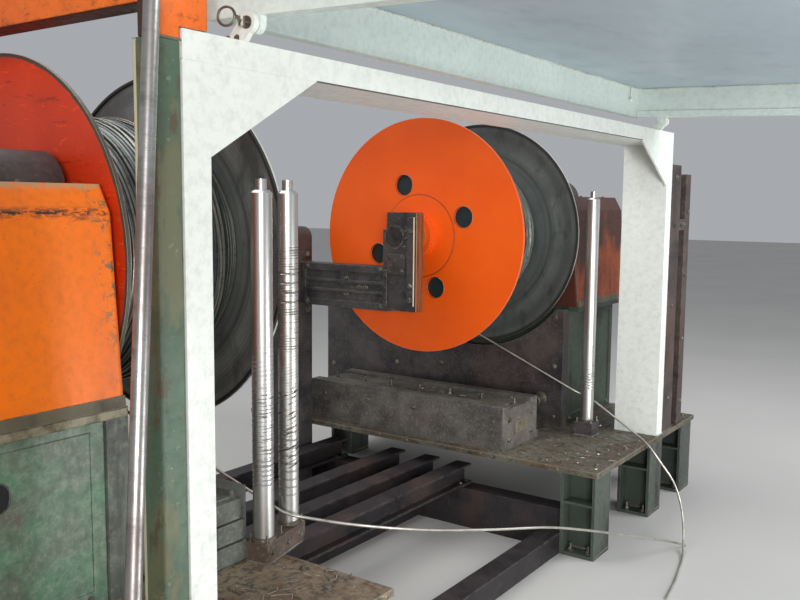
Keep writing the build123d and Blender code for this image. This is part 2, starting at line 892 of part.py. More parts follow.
def door_bar(u, y, w_low, w_high):
    """Add a straight piece of the door between the values given along u, Y and w."""
    with Locations(door_plane((w_low + w_high) / 2).location):
        with Locations((sum(u) / 2, sum(y) / 2)):
            Box(abs(u[1] - u[0]), abs(y[1] - y[0]), w_high - w_low)


def door():
    full = (-door_half_w, door_half_w)
    with BuildPart() as skin:
        door_bar((door_back_u, door_front_u), full, rim_top_w, rim_top_w + door_skin_t)
    keep(skin, "door_skin")
    with BuildPart() as rear:
        door_bar((door_back_u, door_back_u + rim_t), full, rim_low_w, rim_top_w)
    keep(rear, "door_rear_rim")
    with BuildPart() as front:
        door_bar((door_front_u - rim_t, door_front_u), full, rim_low_w, rim_top_w)
    keep(front, "door_front_rim")
    with BuildPart() as rims:
        for side, _ in sides:
            edges_y = (side * (door_half_w - rim_t), side * door_half_w)
            door_bar((door_back_u + rim_t, door_front_u - rim_t), edges_y, rim_low_w, rim_top_w)
            with BuildSketch(outward(side, door_half_w - lug_t)):
                with Locations((hinge_x, hinge_z)):
                    with Locations(Location((0, 0), -door_pitch)):
                        Circle(lug_r)
                        with Locations((0, (rim_low_w + lug_r / 2) / 2)):
                            Rectangle(2 * lug_r, rim_low_w + lug_r / 2)
                        Circle(hinge_pin_r + running_gap, mode=Mode.SUBTRACT)
            extrude(amount=-side * lug_t)
    keep(rims, "door_side_rims")


def hinge_brackets():
    """Brackets on the portal's header, each with the pin that carries a lug of the door."""
    with BuildPart() as brackets:
        for side, _ in sides:
            face_y = door_half_w + bracket_gap
            with BuildSketch(outward(side, face_y)):
                with BuildLine():
                    Polyline(
                        (bracket_foot_x, header_top_z),
                        (portal_front_x, header_top_z),
                        (hinge_x + bracket_r, hinge_z),
                        (hinge_x - bracket_r, hinge_z + bracket_r / 2),
                        close=True,
                    )
                make_face()
                with Locations((hinge_x, hinge_z)):
                    Circle(bracket_r)
            extrude(amount=-side * bracket_t)
            with BuildSketch(outward(side, door_half_w - lug_t)):
                with Locations((hinge_x, hinge_z)):
                    Circle(hinge_pin_r)
            extrude(amount=-side * (lug_t + bracket_gap + bracket_t))
    keep(brackets, "hinge_brackets")


# Loose ends of the trims


def bend_radii(points):
    """Largest easy radius at each inner point of a strand."""
    radii = []
    for before, here, after in zip(points, points[1:], points[2:]):
        run_in = Vector(*here) - Vector(*before)
        run_out = Vector(*after) - Vector(*here)
        half_turn = radians(run_in.get_angle(run_out) / 2)
        radii.append(strand_bend_share * min(run_in.length, run_out.length) / tan(half_turn))
    return radii


def strand(points, label):
    """Strand of trim, from the coil over its guide and down to the floor."""
    radii = bend_radii(points)
    print(label, "bend radii", [round(r) for r in radii])
    with BuildPart() as wire:
        with BuildLine():
            run = FilletPolyline(*points, radius=radii)
        with BuildSketch(Plane(origin=run @ 0, z_dir=run % 0)):
            RegularPolygon(strand_r, strand_sides)
        sweep()
    keep(wire, label)


os.makedirs("parts", exist_ok=True)
reels()
for side, name in sides:
    bearing_head(side, name)
    arm(side, name)
    arm_column(side, name)
    table_top(side, name)
    table_legs(side, name)
    bed(side, name)
    drive_base(side, name)
    drive_wall(side, name)
    gearbox(side, name)
    drive_cover(side, name)
floor_beams()
cross_beams()
portal()
columns()
side_post()
leaning_bar()
roller_stands()
rollers()
door()
hinge_brackets()
strand(strand_1_points, "trim_strand_1")
strand(strand_2_points, "trim_strand_2")
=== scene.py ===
import math
import random

import bmesh
import bpy
from mathutils import Matrix, Vector, noise


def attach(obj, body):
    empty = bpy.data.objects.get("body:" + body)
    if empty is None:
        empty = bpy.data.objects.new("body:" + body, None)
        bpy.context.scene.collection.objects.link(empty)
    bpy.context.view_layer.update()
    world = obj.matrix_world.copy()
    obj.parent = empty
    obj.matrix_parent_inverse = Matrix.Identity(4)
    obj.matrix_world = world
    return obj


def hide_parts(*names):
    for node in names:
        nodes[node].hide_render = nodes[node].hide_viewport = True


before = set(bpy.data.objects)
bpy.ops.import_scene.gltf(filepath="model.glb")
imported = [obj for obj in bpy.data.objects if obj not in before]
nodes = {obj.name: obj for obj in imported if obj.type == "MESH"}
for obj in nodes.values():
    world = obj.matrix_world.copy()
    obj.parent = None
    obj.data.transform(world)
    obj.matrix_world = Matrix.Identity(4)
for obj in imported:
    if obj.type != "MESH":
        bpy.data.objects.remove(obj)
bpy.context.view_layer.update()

AXIS_Z = 1.464
REEL_Y = {1: -1.147, 2: 1.147}
TABLE_Z = {"left": 0.521, "right": 0.420}
SIDE = {"left": -1.0, "right": 1.0}
ROLLERS = {"left_roller_1": (0.6780, -1.0270), "left_roller_2": (0.6420, -0.8711), "right_roller": (0.7200, 1.3800)}
STAND_TURN = math.radians(13.0)


# Colours and node helpers

def srgb(r, g, b):
    """Linear colour from 0 to 255 values."""
    out = []
    for v in (r, g, b):
        v = v / 255.0
        out.append(v / 12.92 if v <= 0.04045 else ((v + 0.055) / 1.055) ** 2.4)
    return (*out, 1.0)


class Paint:
    """A material under construction, with short ways to add and join nodes."""

    def __init__(self, name):
        self.material = bpy.data.materials.new(name)
        self.material.use_nodes = True
        self.tree = self.material.node_tree
        self.tree.nodes.clear()
        self.out = self.tree.nodes.new("ShaderNodeOutputMaterial")
        self.shader = self.tree.nodes.new("ShaderNodeBsdfPrincipled")
        self.link(self.shader.outputs["BSDF"], self.out.inputs["Surface"])
        self.place = self.tree.nodes.new("ShaderNodeTexCoord").outputs["Object"]

    def link(self, a, b):
        self.tree.links.new(a, b)

    def put(self, socket, value):
        if isinstance(value, bpy.types.NodeSocket):
            self.link(value, socket)
        else:
            socket.default_value = value

    def stretched(self, scale, place=None):
        """The coordinates, scaled by axis."""
        node = self.tree.nodes.new("ShaderNodeMapping")
        self.link(place or self.place, node.inputs["Vector"])
        node.inputs["Scale"].default_value = scale
        return node.outputs["Vector"]

    def noise(self, scale, detail=4.0, rough=0.55, place=None, distortion=0.0):
        node = self.tree.nodes.new("ShaderNodeTexNoise")
        self.link(place or self.place, node.inputs["Vector"])
        node.inputs["Scale"].default_value = scale
        node.inputs["Detail"].default_value = detail
        node.inputs["Roughness"].default_value = rough
        node.inputs["Distortion"].default_value = distortion
        return node.outputs["Fac"]

    def voronoi(self, scale, place=None, feature="F1"):
        node = self.tree.nodes.new("ShaderNodeTexVoronoi")
        node.feature = feature
        self.link(place or self.place, node.inputs["Vector"])
        node.inputs["Scale"].default_value = scale
        return node.outputs["Distance"]

    def steps(self, value, low, high, to_low=0.0, to_high=1.0):
        """The value, mapped from one range to another and held within it."""
        node = self.tree.nodes.new("ShaderNodeMapRange")
        self.put(node.inputs["Value"], value)
        node.inputs["From Min"].default_value = low
        node.inputs["From Max"].default_value = high
        node.inputs["To Min"].default_value = to_low
        node.inputs["To Max"].default_value = to_high
        return node.outputs["Result"]

    def math(self, kind, a, b=0.0, c=0.0, clamp=False):
        node = self.tree.nodes.new("ShaderNodeMath")
        node.operation = kind
        node.use_clamp = clamp
        self.put(node.inputs[0], a)
        self.put(node.inputs[1], b)
        self.put(node.inputs[2], c)
        return node.outputs["Value"]

    def mix(self, share, a, b, kind="MIX"):
        node = self.tree.nodes.new("ShaderNodeMix")
        node.data_type = "RGBA"
        node.blend_type = kind
        self.put(node.inputs["Factor"], share)
        self.put(node.inputs["A"], a)
        self.put(node.inputs["B"], b)
        return next(o for o in node.outputs if o.type == "RGBA")

    def xyz(self, place=None):
        node = self.tree.nodes.new("ShaderNodeSeparateXYZ")
        self.link(place or self.place, node.inputs["Vector"])
        return node.outputs["X"], node.outputs["Y"], node.outputs["Z"]

    def join(self, x, y, z):
        node = self.tree.nodes.new("ShaderNodeCombineXYZ")
        for socket, value in zip(node.inputs, (x, y, z)):
            self.put(socket, value)
        return node.outputs["Vector"]

    def facing(self):
        node = self.tree.nodes.new("ShaderNodeNewGeometry")
        return self.xyz(node.outputs["Normal"])

    def edges(self, radius):
        """1 where the surface is within the radius of an edge, 0 elsewhere."""
        bevel = self.tree.nodes.new("ShaderNodeBevel")
        bevel.samples = 4
        bevel.inputs["Radius"].default_value = radius
        plain = self.tree.nodes.new("ShaderNodeNewGeometry")
        dot = self.tree.nodes.new("ShaderNodeVectorMath")
        dot.operation = "DOT_PRODUCT"
        self.link(bevel.outputs["Normal"], dot.inputs[0])
        self.link(plain.outputs["Normal"], dot.inputs[1])
        return self.steps(dot.outputs["Value"], 0.999, 0.90)

    def bump(self, height, strength=0.3, distance=0.002):
        node = self.tree.nodes.new("ShaderNodeBump")
        node.inputs["Strength"].default_value = strength
        node.inputs["Distance"].default_value = distance
        self.link(height, node.inputs["Height"])
        self.link(node.outputs["Normal"], self.shader.inputs["Normal"])

    def finish(self, colour, rough, metal=0.0):
        self.put(self.shader.inputs["Base Color"], colour)
        self.put(self.shader.inputs["Roughness"], rough)
        self.put(self.shader.inputs["Metallic"], metal)
        return self.material


# Materials

def worn_paint(name, light, dark, bare, chips=0.35, grime=0.4, gloss=0.42, edge=0.004, grime_colour=(38, 32, 26), marks=None):
    """Brushed or sprayed paint: clouds of tone, runs of dirt, chipped edges and fine scratches."""
    p = Paint(name)
    clouds = p.steps(p.noise(1.7, 3.0), 0.35, 0.68)
    colour = p.mix(clouds, srgb(*light), srgb(*dark))
    fine = p.noise(42.0, 5.0, 0.65)
    colour = p.mix(p.steps(fine, 0.45, 0.75, 0.0, 0.35), colour, srgb(*[int(v * 0.72) for v in light]))
    runs = p.noise(3.2, 5.0, 0.6, p.stretched((2.2, 2.2, 0.35)))
    smears = p.noise(9.0, 6.0, 0.62)
    dirt = p.math("MULTIPLY", p.steps(runs, 0.46, 0.72), p.steps(smears, 0.38, 0.66))
    colour = p.mix(p.math("MULTIPLY", dirt, grime * 1.8, clamp=True), colour, srgb(*grime_colour))
    near_edge = p.edges(edge)
    broken = p.noise(58.0, 6.0, 0.7)
    chipped = p.math("MULTIPLY", near_edge, p.steps(broken, 0.62 - 0.28 * chips, 0.66 - 0.24 * chips))
    scratch_a = p.noise(30.0, 2.0, 0.5, p.stretched((9.0, 0.6, 1.0)), 0.6)
    scratch_b = p.noise(26.0, 2.0, 0.5, p.stretched((0.7, 1.2, 8.0)), 0.7)
    lines = p.math("ADD", p.steps(scratch_a, 0.725, 0.75), p.steps(scratch_b, 0.735, 0.76), clamp=True)
    patchy = p.steps(p.noise(2.6, 2.0), 0.48, 0.62)
    lines = p.math("MULTIPLY", lines, p.math("MULTIPLY", patchy, min(1.0, chips * 1.6)))
    spots = p.math("MULTIPLY", p.steps(p.noise(95.0, 3.0, 0.6), 0.70, 0.73), min(1.0, chips * 1.3))
    bared = p.math("MAXIMUM", chipped, p.math("MAXIMUM", lines, spots))
    colour = p.mix(bared, colour, srgb(*bare))
    if marks:
        colour = marks(p, colour)
    rough = p.steps(p.math("ADD", p.math("MULTIPLY", dirt, 0.5), fine), 0.3, 1.1, gloss - 0.08, gloss + 0.34)
    height = p.math("SUBTRACT", p.math("MULTIPLY", fine, 0.12), bared)
    p.bump(height, 0.35, 0.0012)
    return p.finish(colour, rough)


def both(p, *shares):
    """The shares multiplied together."""
    out = shares[0]
    for share in shares[1:]:
        out = p.math("MULTIPLY", out, share)
    return out


def cover_marks(p, colour):
    """Left cover: bare strip on top, chips along the crease and down the edge beside the reel."""
    x, y, z = p.xyz()
    off_crease = p.math("ABSOLUTE", p.math("SUBTRACT", z, 1.600))
    torn = p.noise(62.0, 7.0, 0.8, p.stretched((1.0, 0.42, 1.5)), 0.4)
    crease = both(p, p.steps(off_crease, 0.018, 0.002), p.steps(torn, 0.47, 0.51))
    low_crease = both(p, p.steps(p.math("ABSOLUTE", p.math("SUBTRACT", z, 1.584)), 0.012, 0.002),
                      p.steps(torn, 0.54, 0.56), p.steps(y, -1.70, -1.52))
    colour = p.mix(p.math("MAXIMUM", crease, low_crease), colour, srgb(52, 42, 38))
    flakes = p.noise(36.0, 5.0, 0.7)
    side = both(p, p.steps(y, -1.560, -1.496), p.steps(flakes, 0.53, 0.57))
    side = both(p, side, p.steps(z, 1.16, 1.44, 0.35, 1.0))
    colour = p.mix(side, colour, srgb(96, 98, 78))
    rubbed = both(p, p.steps(y, -1.70, -1.52), p.steps(z, 1.42, 1.24), p.steps(p.noise(9.0, 4.0, 0.6), 0.38, 0.62))
    colour = p.mix(p.math("MULTIPLY", rubbed, 0.42), colour, srgb(206, 106, 66))
    specks = both(p, p.steps(p.noise(74.0, 4.0, 0.7), 0.685, 0.70), p.steps(p.noise(3.0, 2.0), 0.42, 0.58))
    colour = p.mix(specks, colour, srgb(70, 46, 34))
    top = both(p, p.steps(z, 1.655, 1.668), p.steps(flakes, 0.36, 0.50))
    return p.mix(top, colour, srgb(178, 142, 104))


def brown_cover_marks(p, colour):
    """Right cover: painted shade on its end facing the reel, caked and dark high up, orange low on the far side."""
    x, y, z = p.xyz()
    nx, ny, nz = p.facing()
    cake = p.noise(8.0, 6.0, 0.7, p.stretched((1.0, 1.0, 0.4)))
    # painted shade: the end facing the reel is darkened whole
    end = p.steps(ny, -0.35, -0.7)
    high = p.math("ADD", p.steps(z, 1.26, 1.52, 0.0, 0.55), p.steps(y, 1.80, 1.52, 0.0, 0.35))
    share = p.math("MAXIMUM", p.math("MULTIPLY", end, 0.95), p.steps(p.math("ADD", cake, p.math("SUBTRACT", high, 0.32)), 0.42, 0.62))
    return p.mix(p.math("MULTIPLY", share, 0.88), colour, srgb(48, 30, 26))


def wall_marks(p, colour):
    """Mottled grey wall with upright smears."""
    mottle = p.noise(26.0, 6.0, 0.74)
    colour = p.mix(p.math("MULTIPLY", p.steps(mottle, 0.46, 0.60), 0.6), colour, srgb(116, 120, 110))
    smear = p.noise(12.0, 5.0, 0.68, p.stretched((1.6, 1.6, 0.3)))
    return p.mix(p.math("MULTIPLY", p.steps(smear, 0.52, 0.62), 0.55), colour, srgb(52, 52, 48))


def seam_and_shade_marks(p, colour):
    """Dark seam between the header's front plate and its lower return, and painted shade on the left gusset's
    downward-facing slope.
    """
    x, y, z = p.xyz()
    seam = both(p, p.steps(z, 1.9385, 1.9392), p.steps(z, 1.9432, 1.9424), p.steps(x, 1.034, 1.0365))
    seam = both(p, seam, p.steps(p.math("ABSOLUTE", y), 1.195, 1.190))
    colour = p.mix(p.math("MULTIPLY", seam, 0.92), colour, srgb(30, 30, 30))
    nx, ny, nz = p.facing()
    # painted shade: the left gusset's sloping underside is made dark
    gusset_slope_shade = both(p, p.steps(nz, -0.2, -0.4), p.steps(p.math("ABSOLUTE", ny), 0.25, 0.4), p.steps(y, -0.5, -0.6))
    return p.mix(p.math("MULTIPLY", gusset_slope_shade, 0.9), colour, srgb(46, 42, 38))


def base_marks(p, colour):
    """Left drive base: grey rubbed side next to the reel and a brown ledge."""
    x, y, z = p.xyz()
    cloud = p.noise(5.0, 6.0, 0.66)
    grey = both(p, p.steps(y, -1.98, -1.60, 0.25, 1.0), p.steps(cloud, 0.40, 0.60))
    colour = p.mix(p.math("MULTIPLY", grey, 0.72), colour, srgb(104, 106, 96))
    fine = p.noise(30.0, 7.0, 0.78)
    colour = p.mix(p.math("MULTIPLY", p.steps(fine, 0.50, 0.62), 0.40), colour, srgb(146, 156, 142))
    colour = p.mix(p.math("MULTIPLY", p.steps(fine, 0.48, 0.38), 0.40), colour, srgb(58, 74, 64))
    brown = both(p, p.steps(cloud, 0.56, 0.66), p.steps(p.noise(2.2, 2.0), 0.50, 0.60))
    colour = p.mix(p.math("MULTIPLY", brown, 0.6), colour, srgb(104, 88, 66))
    ledge = p.steps(z, 1.0535, 1.0545)
    worn = p.mix(p.steps(p.noise(16.0, 6.0, 0.7), 0.42, 0.58), srgb(92, 84, 66), srgb(138, 132, 110))
    return p.mix(ledge, colour, worn)


def column_marks(p, colour):
    """Green column: olive and brown patches over the teal paint, and a painted highlight down its rear edge."""
    patch = p.noise(7.0, 6.0, 0.68, p.stretched((1.0, 1.0, 0.45)))
    colour = p.mix(p.math("MULTIPLY", p.steps(patch, 0.50, 0.58), 0.65), colour, srgb(112, 108, 78))
    brown = p.noise(11.0, 6.0, 0.7, p.stretched((1.4, 1.4, 0.5)))
    colour = p.mix(p.math("MULTIPLY", p.steps(brown, 0.585, 0.64), 0.75), colour, srgb(86, 66, 50))
    pale = p.steps(p.noise(26.0, 6.0, 0.75), 0.60, 0.66)
    colour = p.mix(p.math("MULTIPLY", pale, 0.4), colour, srgb(150, 160, 142))
    x, y, z = p.xyz()
    # painted highlight: cream line down the column's rear edge
    line = both(p, p.steps(x, 0.9765, 0.9745), p.steps(p.noise(14.0, 4.0, 0.6), 0.30, 0.42))
    return p.mix(p.math("MULTIPLY", line, 0.8), colour, srgb(206, 200, 168))


def cap_marks(p, colour):
    """Orange cap and beam: red-brown scuffs, with painted shade on the undersides and on the cap's side facing -Y."""
    nx, ny, nz = p.facing()
    # painted shade: faces turned downward are made near-black
    under = p.steps(nz, -0.4, -0.8)
    colour = p.mix(p.math("MULTIPLY", under, 0.96), colour, srgb(30, 27, 26))
    scuff = p.noise(13.0, 6.0, 0.7, p.stretched((1.0, 1.0, 1.6)))
    colour = p.mix(p.math("MULTIPLY", p.steps(scuff, 0.56, 0.64), 0.62), colour, srgb(120, 48, 28))
    x, y, z = p.xyz()
    # painted shade on the lower part of the cap's side facing -Y
    shaded = both(p, p.steps(x, 0.9815, 0.9830), p.steps(ny, -0.5, -0.8), p.steps(z, 2.092, 2.088))
    return p.mix(p.math("MULTIPLY", shaded, 0.96), colour, srgb(32, 29, 28))


def head_marks(p, colour):
    """Bearing head: orange overspray on the side next to the operator, and a painted highlight along that side's front
    edge.
    """
    nx, ny, nz = p.facing()
    x, y, z = p.xyz()
    streaks = p.noise(1.0, 4.0, 0.7, p.join(p.math("MULTIPLY", x, 20.0), p.math("MULTIPLY", y, 130.0), p.math("MULTIPLY", z, 5.0)))
    spray = both(p, p.steps(nx, 0.6, 0.85), p.steps(x, 0.110, 0.114))
    paint = p.mix(p.steps(streaks, 0.40, 0.62), srgb(104, 60, 34), srgb(170, 96, 48))
    colour = p.mix(p.math("MULTIPLY", spray, 0.85), colour, paint)
    # painted highlight: cream line along the front edge of the sprayed side
    lit = both(p, spray, p.steps(p.math("ABSOLUTE", y), 0.6265, 0.6255))
    return p.mix(lit, colour, srgb(232, 206, 172))


def oily_iron(name, light, dark, shine=0.34, rust=0.25, edge=0.55, marks=None):
    """Dark casting or beam with oil, caked dirt and rusty patches."""
    p = Paint(name)
    caked = p.noise(6.0, 7.0, 0.68)
    fine = p.noise(70.0, 5.0, 0.7)
    colour = p.mix(p.steps(caked, 0.38, 0.64), srgb(*dark), srgb(*light))
    colour = p.mix(p.steps(fine, 0.52, 0.72, 0.0, 0.5), colour, srgb(*[int(v * 1.45 + 8) for v in light]))
    rusty = p.math("MULTIPLY", p.steps(p.noise(3.1, 6.0, 0.62), 0.52, 0.66), rust * 2.0, clamp=True)
    colour = p.mix(rusty, colour, srgb(84, 52, 34))
    if marks:
        colour = marks(p, colour)
    rub = p.math("MULTIPLY", p.edges(0.004), p.steps(p.noise(24.0, 4.0, 0.6), 0.42, 0.60))
    colour = p.mix(p.math("MULTIPLY", rub, edge), colour, srgb(150, 144, 134))
    rough = p.steps(p.math("ADD", caked, p.math("MULTIPLY", fine, 0.5)), 0.45, 1.1, shine, 0.86)
    p.bump(p.math("ADD", p.math("MULTIPLY", caked, 0.8), p.math("MULTIPLY", fine, 0.5)), 0.5, 0.0035)
    return p.finish(colour, rough, p.math("MULTIPLY", rub, 0.6))


def table_plate(name, steel, dirt_colour, wet=0.0):
    """Bare plate worn bright where things slide, with oily dirt and rust between."""
    p = Paint(name)
    broad = p.noise(2.3, 6.0, 0.62)
    fine = p.noise(38.0, 7.0, 0.7)
    grit = p.noise(160.0, 4.0, 0.7)
    colour = p.mix(p.steps(broad, 0.36, 0.64), srgb(*steel), srgb(*dirt_colour))
    colour = p.mix(p.steps(fine, 0.46, 0.70, 0.0, 0.75), colour, srgb(*[int(v * 0.62) for v in dirt_colour]))
    drag = p.noise(14.0, 3.0, 0.5, p.stretched((1.0, 7.0, 1.0)), 0.5)
    drag_two = p.noise(12.0, 3.0, 0.5, p.stretched((6.0, 1.2, 1.0)), 0.8)
    lines = p.math("MAXIMUM", p.steps(drag, 0.66, 0.72), p.steps(drag_two, 0.67, 0.73))
    colour = p.mix(p.math("MULTIPLY", lines, 0.55), colour, srgb(*[min(255, int(v * 1.5)) for v in steel]))
    rust = p.math("MULTIPLY", p.steps(p.noise(4.5, 5.0, 0.6), 0.55, 0.68), 0.7)
    colour = p.mix(rust, colour, srgb(96, 66, 46))
    blots = p.steps(p.noise(19.0, 7.0, 0.75), 0.52, 0.60)
    colour = p.mix(p.math("MULTIPLY", blots, 0.55), colour, srgb(*[int(v * 0.42) for v in dirt_colour]))
    flecks = p.steps(p.voronoi(46.0), 0.105, 0.06)
    flecks = p.math("MULTIPLY", flecks, p.steps(p.noise(7.0, 2.0), 0.46, 0.56))
    colour = p.mix(flecks, colour, srgb(214, 208, 190))
    rim = p.math("MULTIPLY", p.edges(0.005), p.steps(fine, 0.35, 0.55))
    colour = p.mix(p.math("MULTIPLY", rim, 0.8), colour, srgb(176, 172, 160))
    metal = p.math("MULTIPLY", p.math("MAXIMUM", rim, lines), 0.7)
    rough = p.steps(p.math("ADD", fine, p.math("MULTIPLY", broad, 0.6)), 0.5, 1.15, 0.30, 0.88)
    p.bump(p.math("ADD", p.math("MULTIPLY", grit, 0.5), fine), 0.45, 0.002)
    return p.finish(colour, rough, metal)


def ringed(p, axis="Y"):
    """Distance from the reels' axis."""
    x, y, z = p.xyz()
    dz = p.math("SUBTRACT", z, AXIS_Z)
    return p.math("SQRT", p.math("ADD", p.math("MULTIPLY", x, x), p.math("MULTIPLY", dz, dz)))


def turned_paint(name, light, dark, bare, wear, band=0.0):
    """Painted flange: turned rings under the paint, rubs and scuffs, a bared band at the rim, and a painted highlight
    along the rim's edge.
    """
    p = Paint(name)
    radius = ringed(p)
    rings = p.noise(1.0, 3.0, 0.7, p.join(p.math("MULTIPLY", radius, 260.0), 0.0, 0.0))
    x, y, z = p.xyz()
    blotch = p.noise(2.2, 4.0, 0.6)
    colour = p.mix(p.steps(blotch, 0.36, 0.66), srgb(*light), srgb(*dark))
    colour = p.mix(p.steps(rings, 0.45, 0.75, 0.0, 0.30), colour, srgb(*[int(v * 0.78) for v in dark]))
    scuffs = p.noise(16.0, 5.0, 0.65, p.stretched((1.0, 1.0, 2.6)), 1.1)
    rubbed = p.math("MULTIPLY", p.steps(scuffs, 0.66 - 0.10 * wear, 0.72 - 0.08 * wear), min(1.0, 0.35 + wear))
    colour = p.mix(p.math("MULTIPLY", rubbed, 0.55), colour, srgb(*[min(255, int(v * 1.05 + 20)) for v in light]))
    marks = p.noise(34.0, 4.0, 0.7, p.stretched((1.0, 1.0, 1.5)), 0.8)
    dark_marks = p.math("MULTIPLY", p.steps(marks, 0.665, 0.69), wear)
    colour = p.mix(dark_marks, colour, srgb(*bare))
    stain = both(p, p.steps(z, 1.36, 1.12), p.steps(p.noise(6.0, 5.0, 0.66), 0.44, 0.60), wear)
    colour = p.mix(p.math("MULTIPLY", stain, 0.7), colour, srgb(158, 74, 34))
    streaks = p.noise(7.0, 5.0, 0.7, p.stretched((0.6, 1.0, 3.6)), 0.5)
    colour = p.mix(both(p, p.steps(streaks, 0.60, 0.68), 0.8 * wear), colour, srgb(*[int(v * 0.62) for v in dark]))
    ragged = p.math("ADD", radius, p.math("MULTIPLY", p.noise(24.0, 5.0, 0.7), 0.012))
    rim = p.math("MULTIPLY", p.steps(ragged, 0.5925, 0.5965), band)
    colour = p.mix(rim, colour, srgb(74, 70, 62))
    # painted highlight: pale line along the rim's edge
    bright = p.math("MULTIPLY", p.edges(0.002), p.steps(radius, 0.592, 0.596))
    colour = p.mix(p.math("MULTIPLY", bright, 0.75), colour, srgb(222, 196, 176))
    bared = p.math("MAXIMUM", dark_marks, rim)
    rough = p.steps(p.math("ADD", rings, p.math("MULTIPLY", scuffs, 0.5)), 0.4, 1.1, 0.26, 0.55)
    p.bump(p.math("SUBTRACT", p.math("MULTIPLY", rings, 0.25), bared), 0.22, 0.0012)
    return p.finish(colour, rough)


def turned_steel(name, light, dark, far_y, shine=0.32):
    """Turned steel flange, dark with oil, rubbed to rings by the trim, with a painted highlight along the rim's far
    edge.
    """
    p = Paint(name)
    radius = ringed(p)
    rings = p.noise(1.0, 4.0, 0.75, p.join(p.math("MULTIPLY", radius, 150.0), 0.0, 0.0))
    broad = p.noise(1.0, 2.0, 0.5, p.join(p.math("MULTIPLY", radius, 17.0), 3.0, 0.0))
    oil = p.noise(3.4, 5.0, 0.6)
    colour = p.mix(p.steps(broad, 0.40, 0.66), srgb(*dark), srgb(*light))
    colour = p.mix(p.steps(rings, 0.44, 0.72, 0.0, 0.6), colour, srgb(*[min(255, int(v * 1.5)) for v in light]))
    colour = p.mix(p.steps(oil, 0.45, 0.62, 0.0, 0.7), colour, srgb(*dark))
    x, y, z = p.xyz()
    streaks = p.noise(9.0, 5.0, 0.7, p.stretched((1.0, 1.0, 0.35)))
    colour = p.mix(p.math("MULTIPLY", p.steps(streaks, 0.52, 0.62), 0.45), colour, srgb(*[int(v * 0.6) for v in dark]))
    outer = p.steps(radius, 0.5955, 0.5985)
    colour = p.mix(outer, colour, srgb(58, 58, 56))
    # painted highlight: near-white line where the rim meets the far face
    rim = p.math("MULTIPLY", outer, p.steps(y, far_y - 0.0080, far_y - 0.0065))
    colour = p.mix(rim, colour, srgb(226, 226, 220))
    rough = p.steps(p.math("ADD", rings, oil), 0.6, 1.4, shine, 0.62)
    p.bump(rings, 0.18, 0.0012)
    return p.finish(colour, rough, p.steps(oil, 0.35, 0.65, 0.5, 0.2))


def two_tone_hub(name, paint, steel, low, high):
    """Hub painted between two distances from the middle of the machine, bare and oily beyond."""
    p = Paint(name)
    x, y, z = p.xyz()
    out = p.math("ABSOLUTE", y)
    painted = both(p, p.steps(out, low - 0.001, low + 0.001), p.steps(out, high + 0.001, high - 0.001))
    dirt = p.noise(20.0, 6.0, 0.7)
    bare = p.mix(p.steps(dirt, 0.40, 0.62), srgb(*steel), srgb(*[int(v * 0.55) for v in steel]))
    lines = p.noise(1.0, 3.0, 0.7, p.join(p.math("MULTIPLY", y, 160.0), p.math("MULTIPLY", x, 8.0), 0.0))
    step = p.steps(out, 0.773, 0.771)
    worn = p.mix(p.steps(dirt, 0.58, 0.68), srgb(*paint), srgb(*[int(v * 0.6) for v in paint]))
    brown = p.mix(p.steps(lines, 0.42, 0.62), srgb(116, 62, 34), srgb(196, 110, 56))
    worn = p.mix(p.math("MULTIPLY", step, 0.85), worn, brown)
    p.bump(dirt, 0.2, 0.001)
    return p.finish(p.mix(painted, bare, worn), p.steps(dirt, 0.3, 0.7, 0.34, 0.6), p.math("MULTIPLY", p.math("SUBTRACT", 1.0, painted), 0.5))


def wound_strip(name, light, dark):
    """Edges of wound strip: fine bright and dark lines round the coil."""
    p = Paint(name)
    x, y, z = p.xyz()
    radius = ringed(p)
    turns = p.noise(1.0, 3.0, 0.7, p.join(p.math("MULTIPLY", y, 170.0), p.math("MULTIPLY", radius, 90.0), 0.0))
    spots = p.noise(23.0, 5.0, 0.6)
    colour = p.mix(p.steps(turns, 0.36, 0.64), srgb(*dark), srgb(*light))
    colour = p.mix(p.steps(spots, 0.50, 0.70, 0.0, 0.6), colour, srgb(*[int(v * 0.55) for v in dark]))
    nx, ny, nz = p.facing()
    side = p.steps(p.math("ABSOLUTE", ny), 0.85, 0.95)
    colour = p.mix(side, colour, srgb(34, 48, 48))
    rough = p.steps(turns, 0.3, 0.7, 0.58, 0.28)
    p.bump(turns, 0.5, 0.003)
    return p.finish(colour, rough, p.steps(side, 0.0, 1.0, 0.85, 0.1))


def polished(name, light, dark, band=130.0, low_z=0.0, high_z=2.2, shine=0.24):
    """Steel polished by use, with fine rings, dull patches and a little rust."""
    p = Paint(name)
    x, y, z = p.xyz()
    fine = p.noise(1.0, 4.0, 0.7, p.join(p.math("MULTIPLY", x, 6.0), p.math("MULTIPLY", y, 6.0), p.math("MULTIPLY", z, band)))
    dull = p.noise(7.0, 5.0, 0.62, p.stretched((1.0, 1.0, 0.5)))
    colour = p.mix(p.steps(dull, 0.40, 0.66), srgb(*light), srgb(*dark))
    colour = p.mix(p.steps(fine, 0.50, 0.72, 0.0, 0.55), colour, srgb(*[int(v * 0.66) for v in dark]))
    rust = p.math("MULTIPLY", p.steps(p.noise(13.0, 5.0, 0.6), 0.62, 0.74), 0.6)
    colour = p.mix(rust, colour, srgb(112, 84, 62))
    rough = p.steps(p.math("ADD", fine, dull), 0.7, 1.4, shine, 0.52)
    p.bump(fine, 0.22, 0.0012)
    return p.finish(colour, rough, p.steps(rust, 0.0, 0.6, 0.92, 0.35))


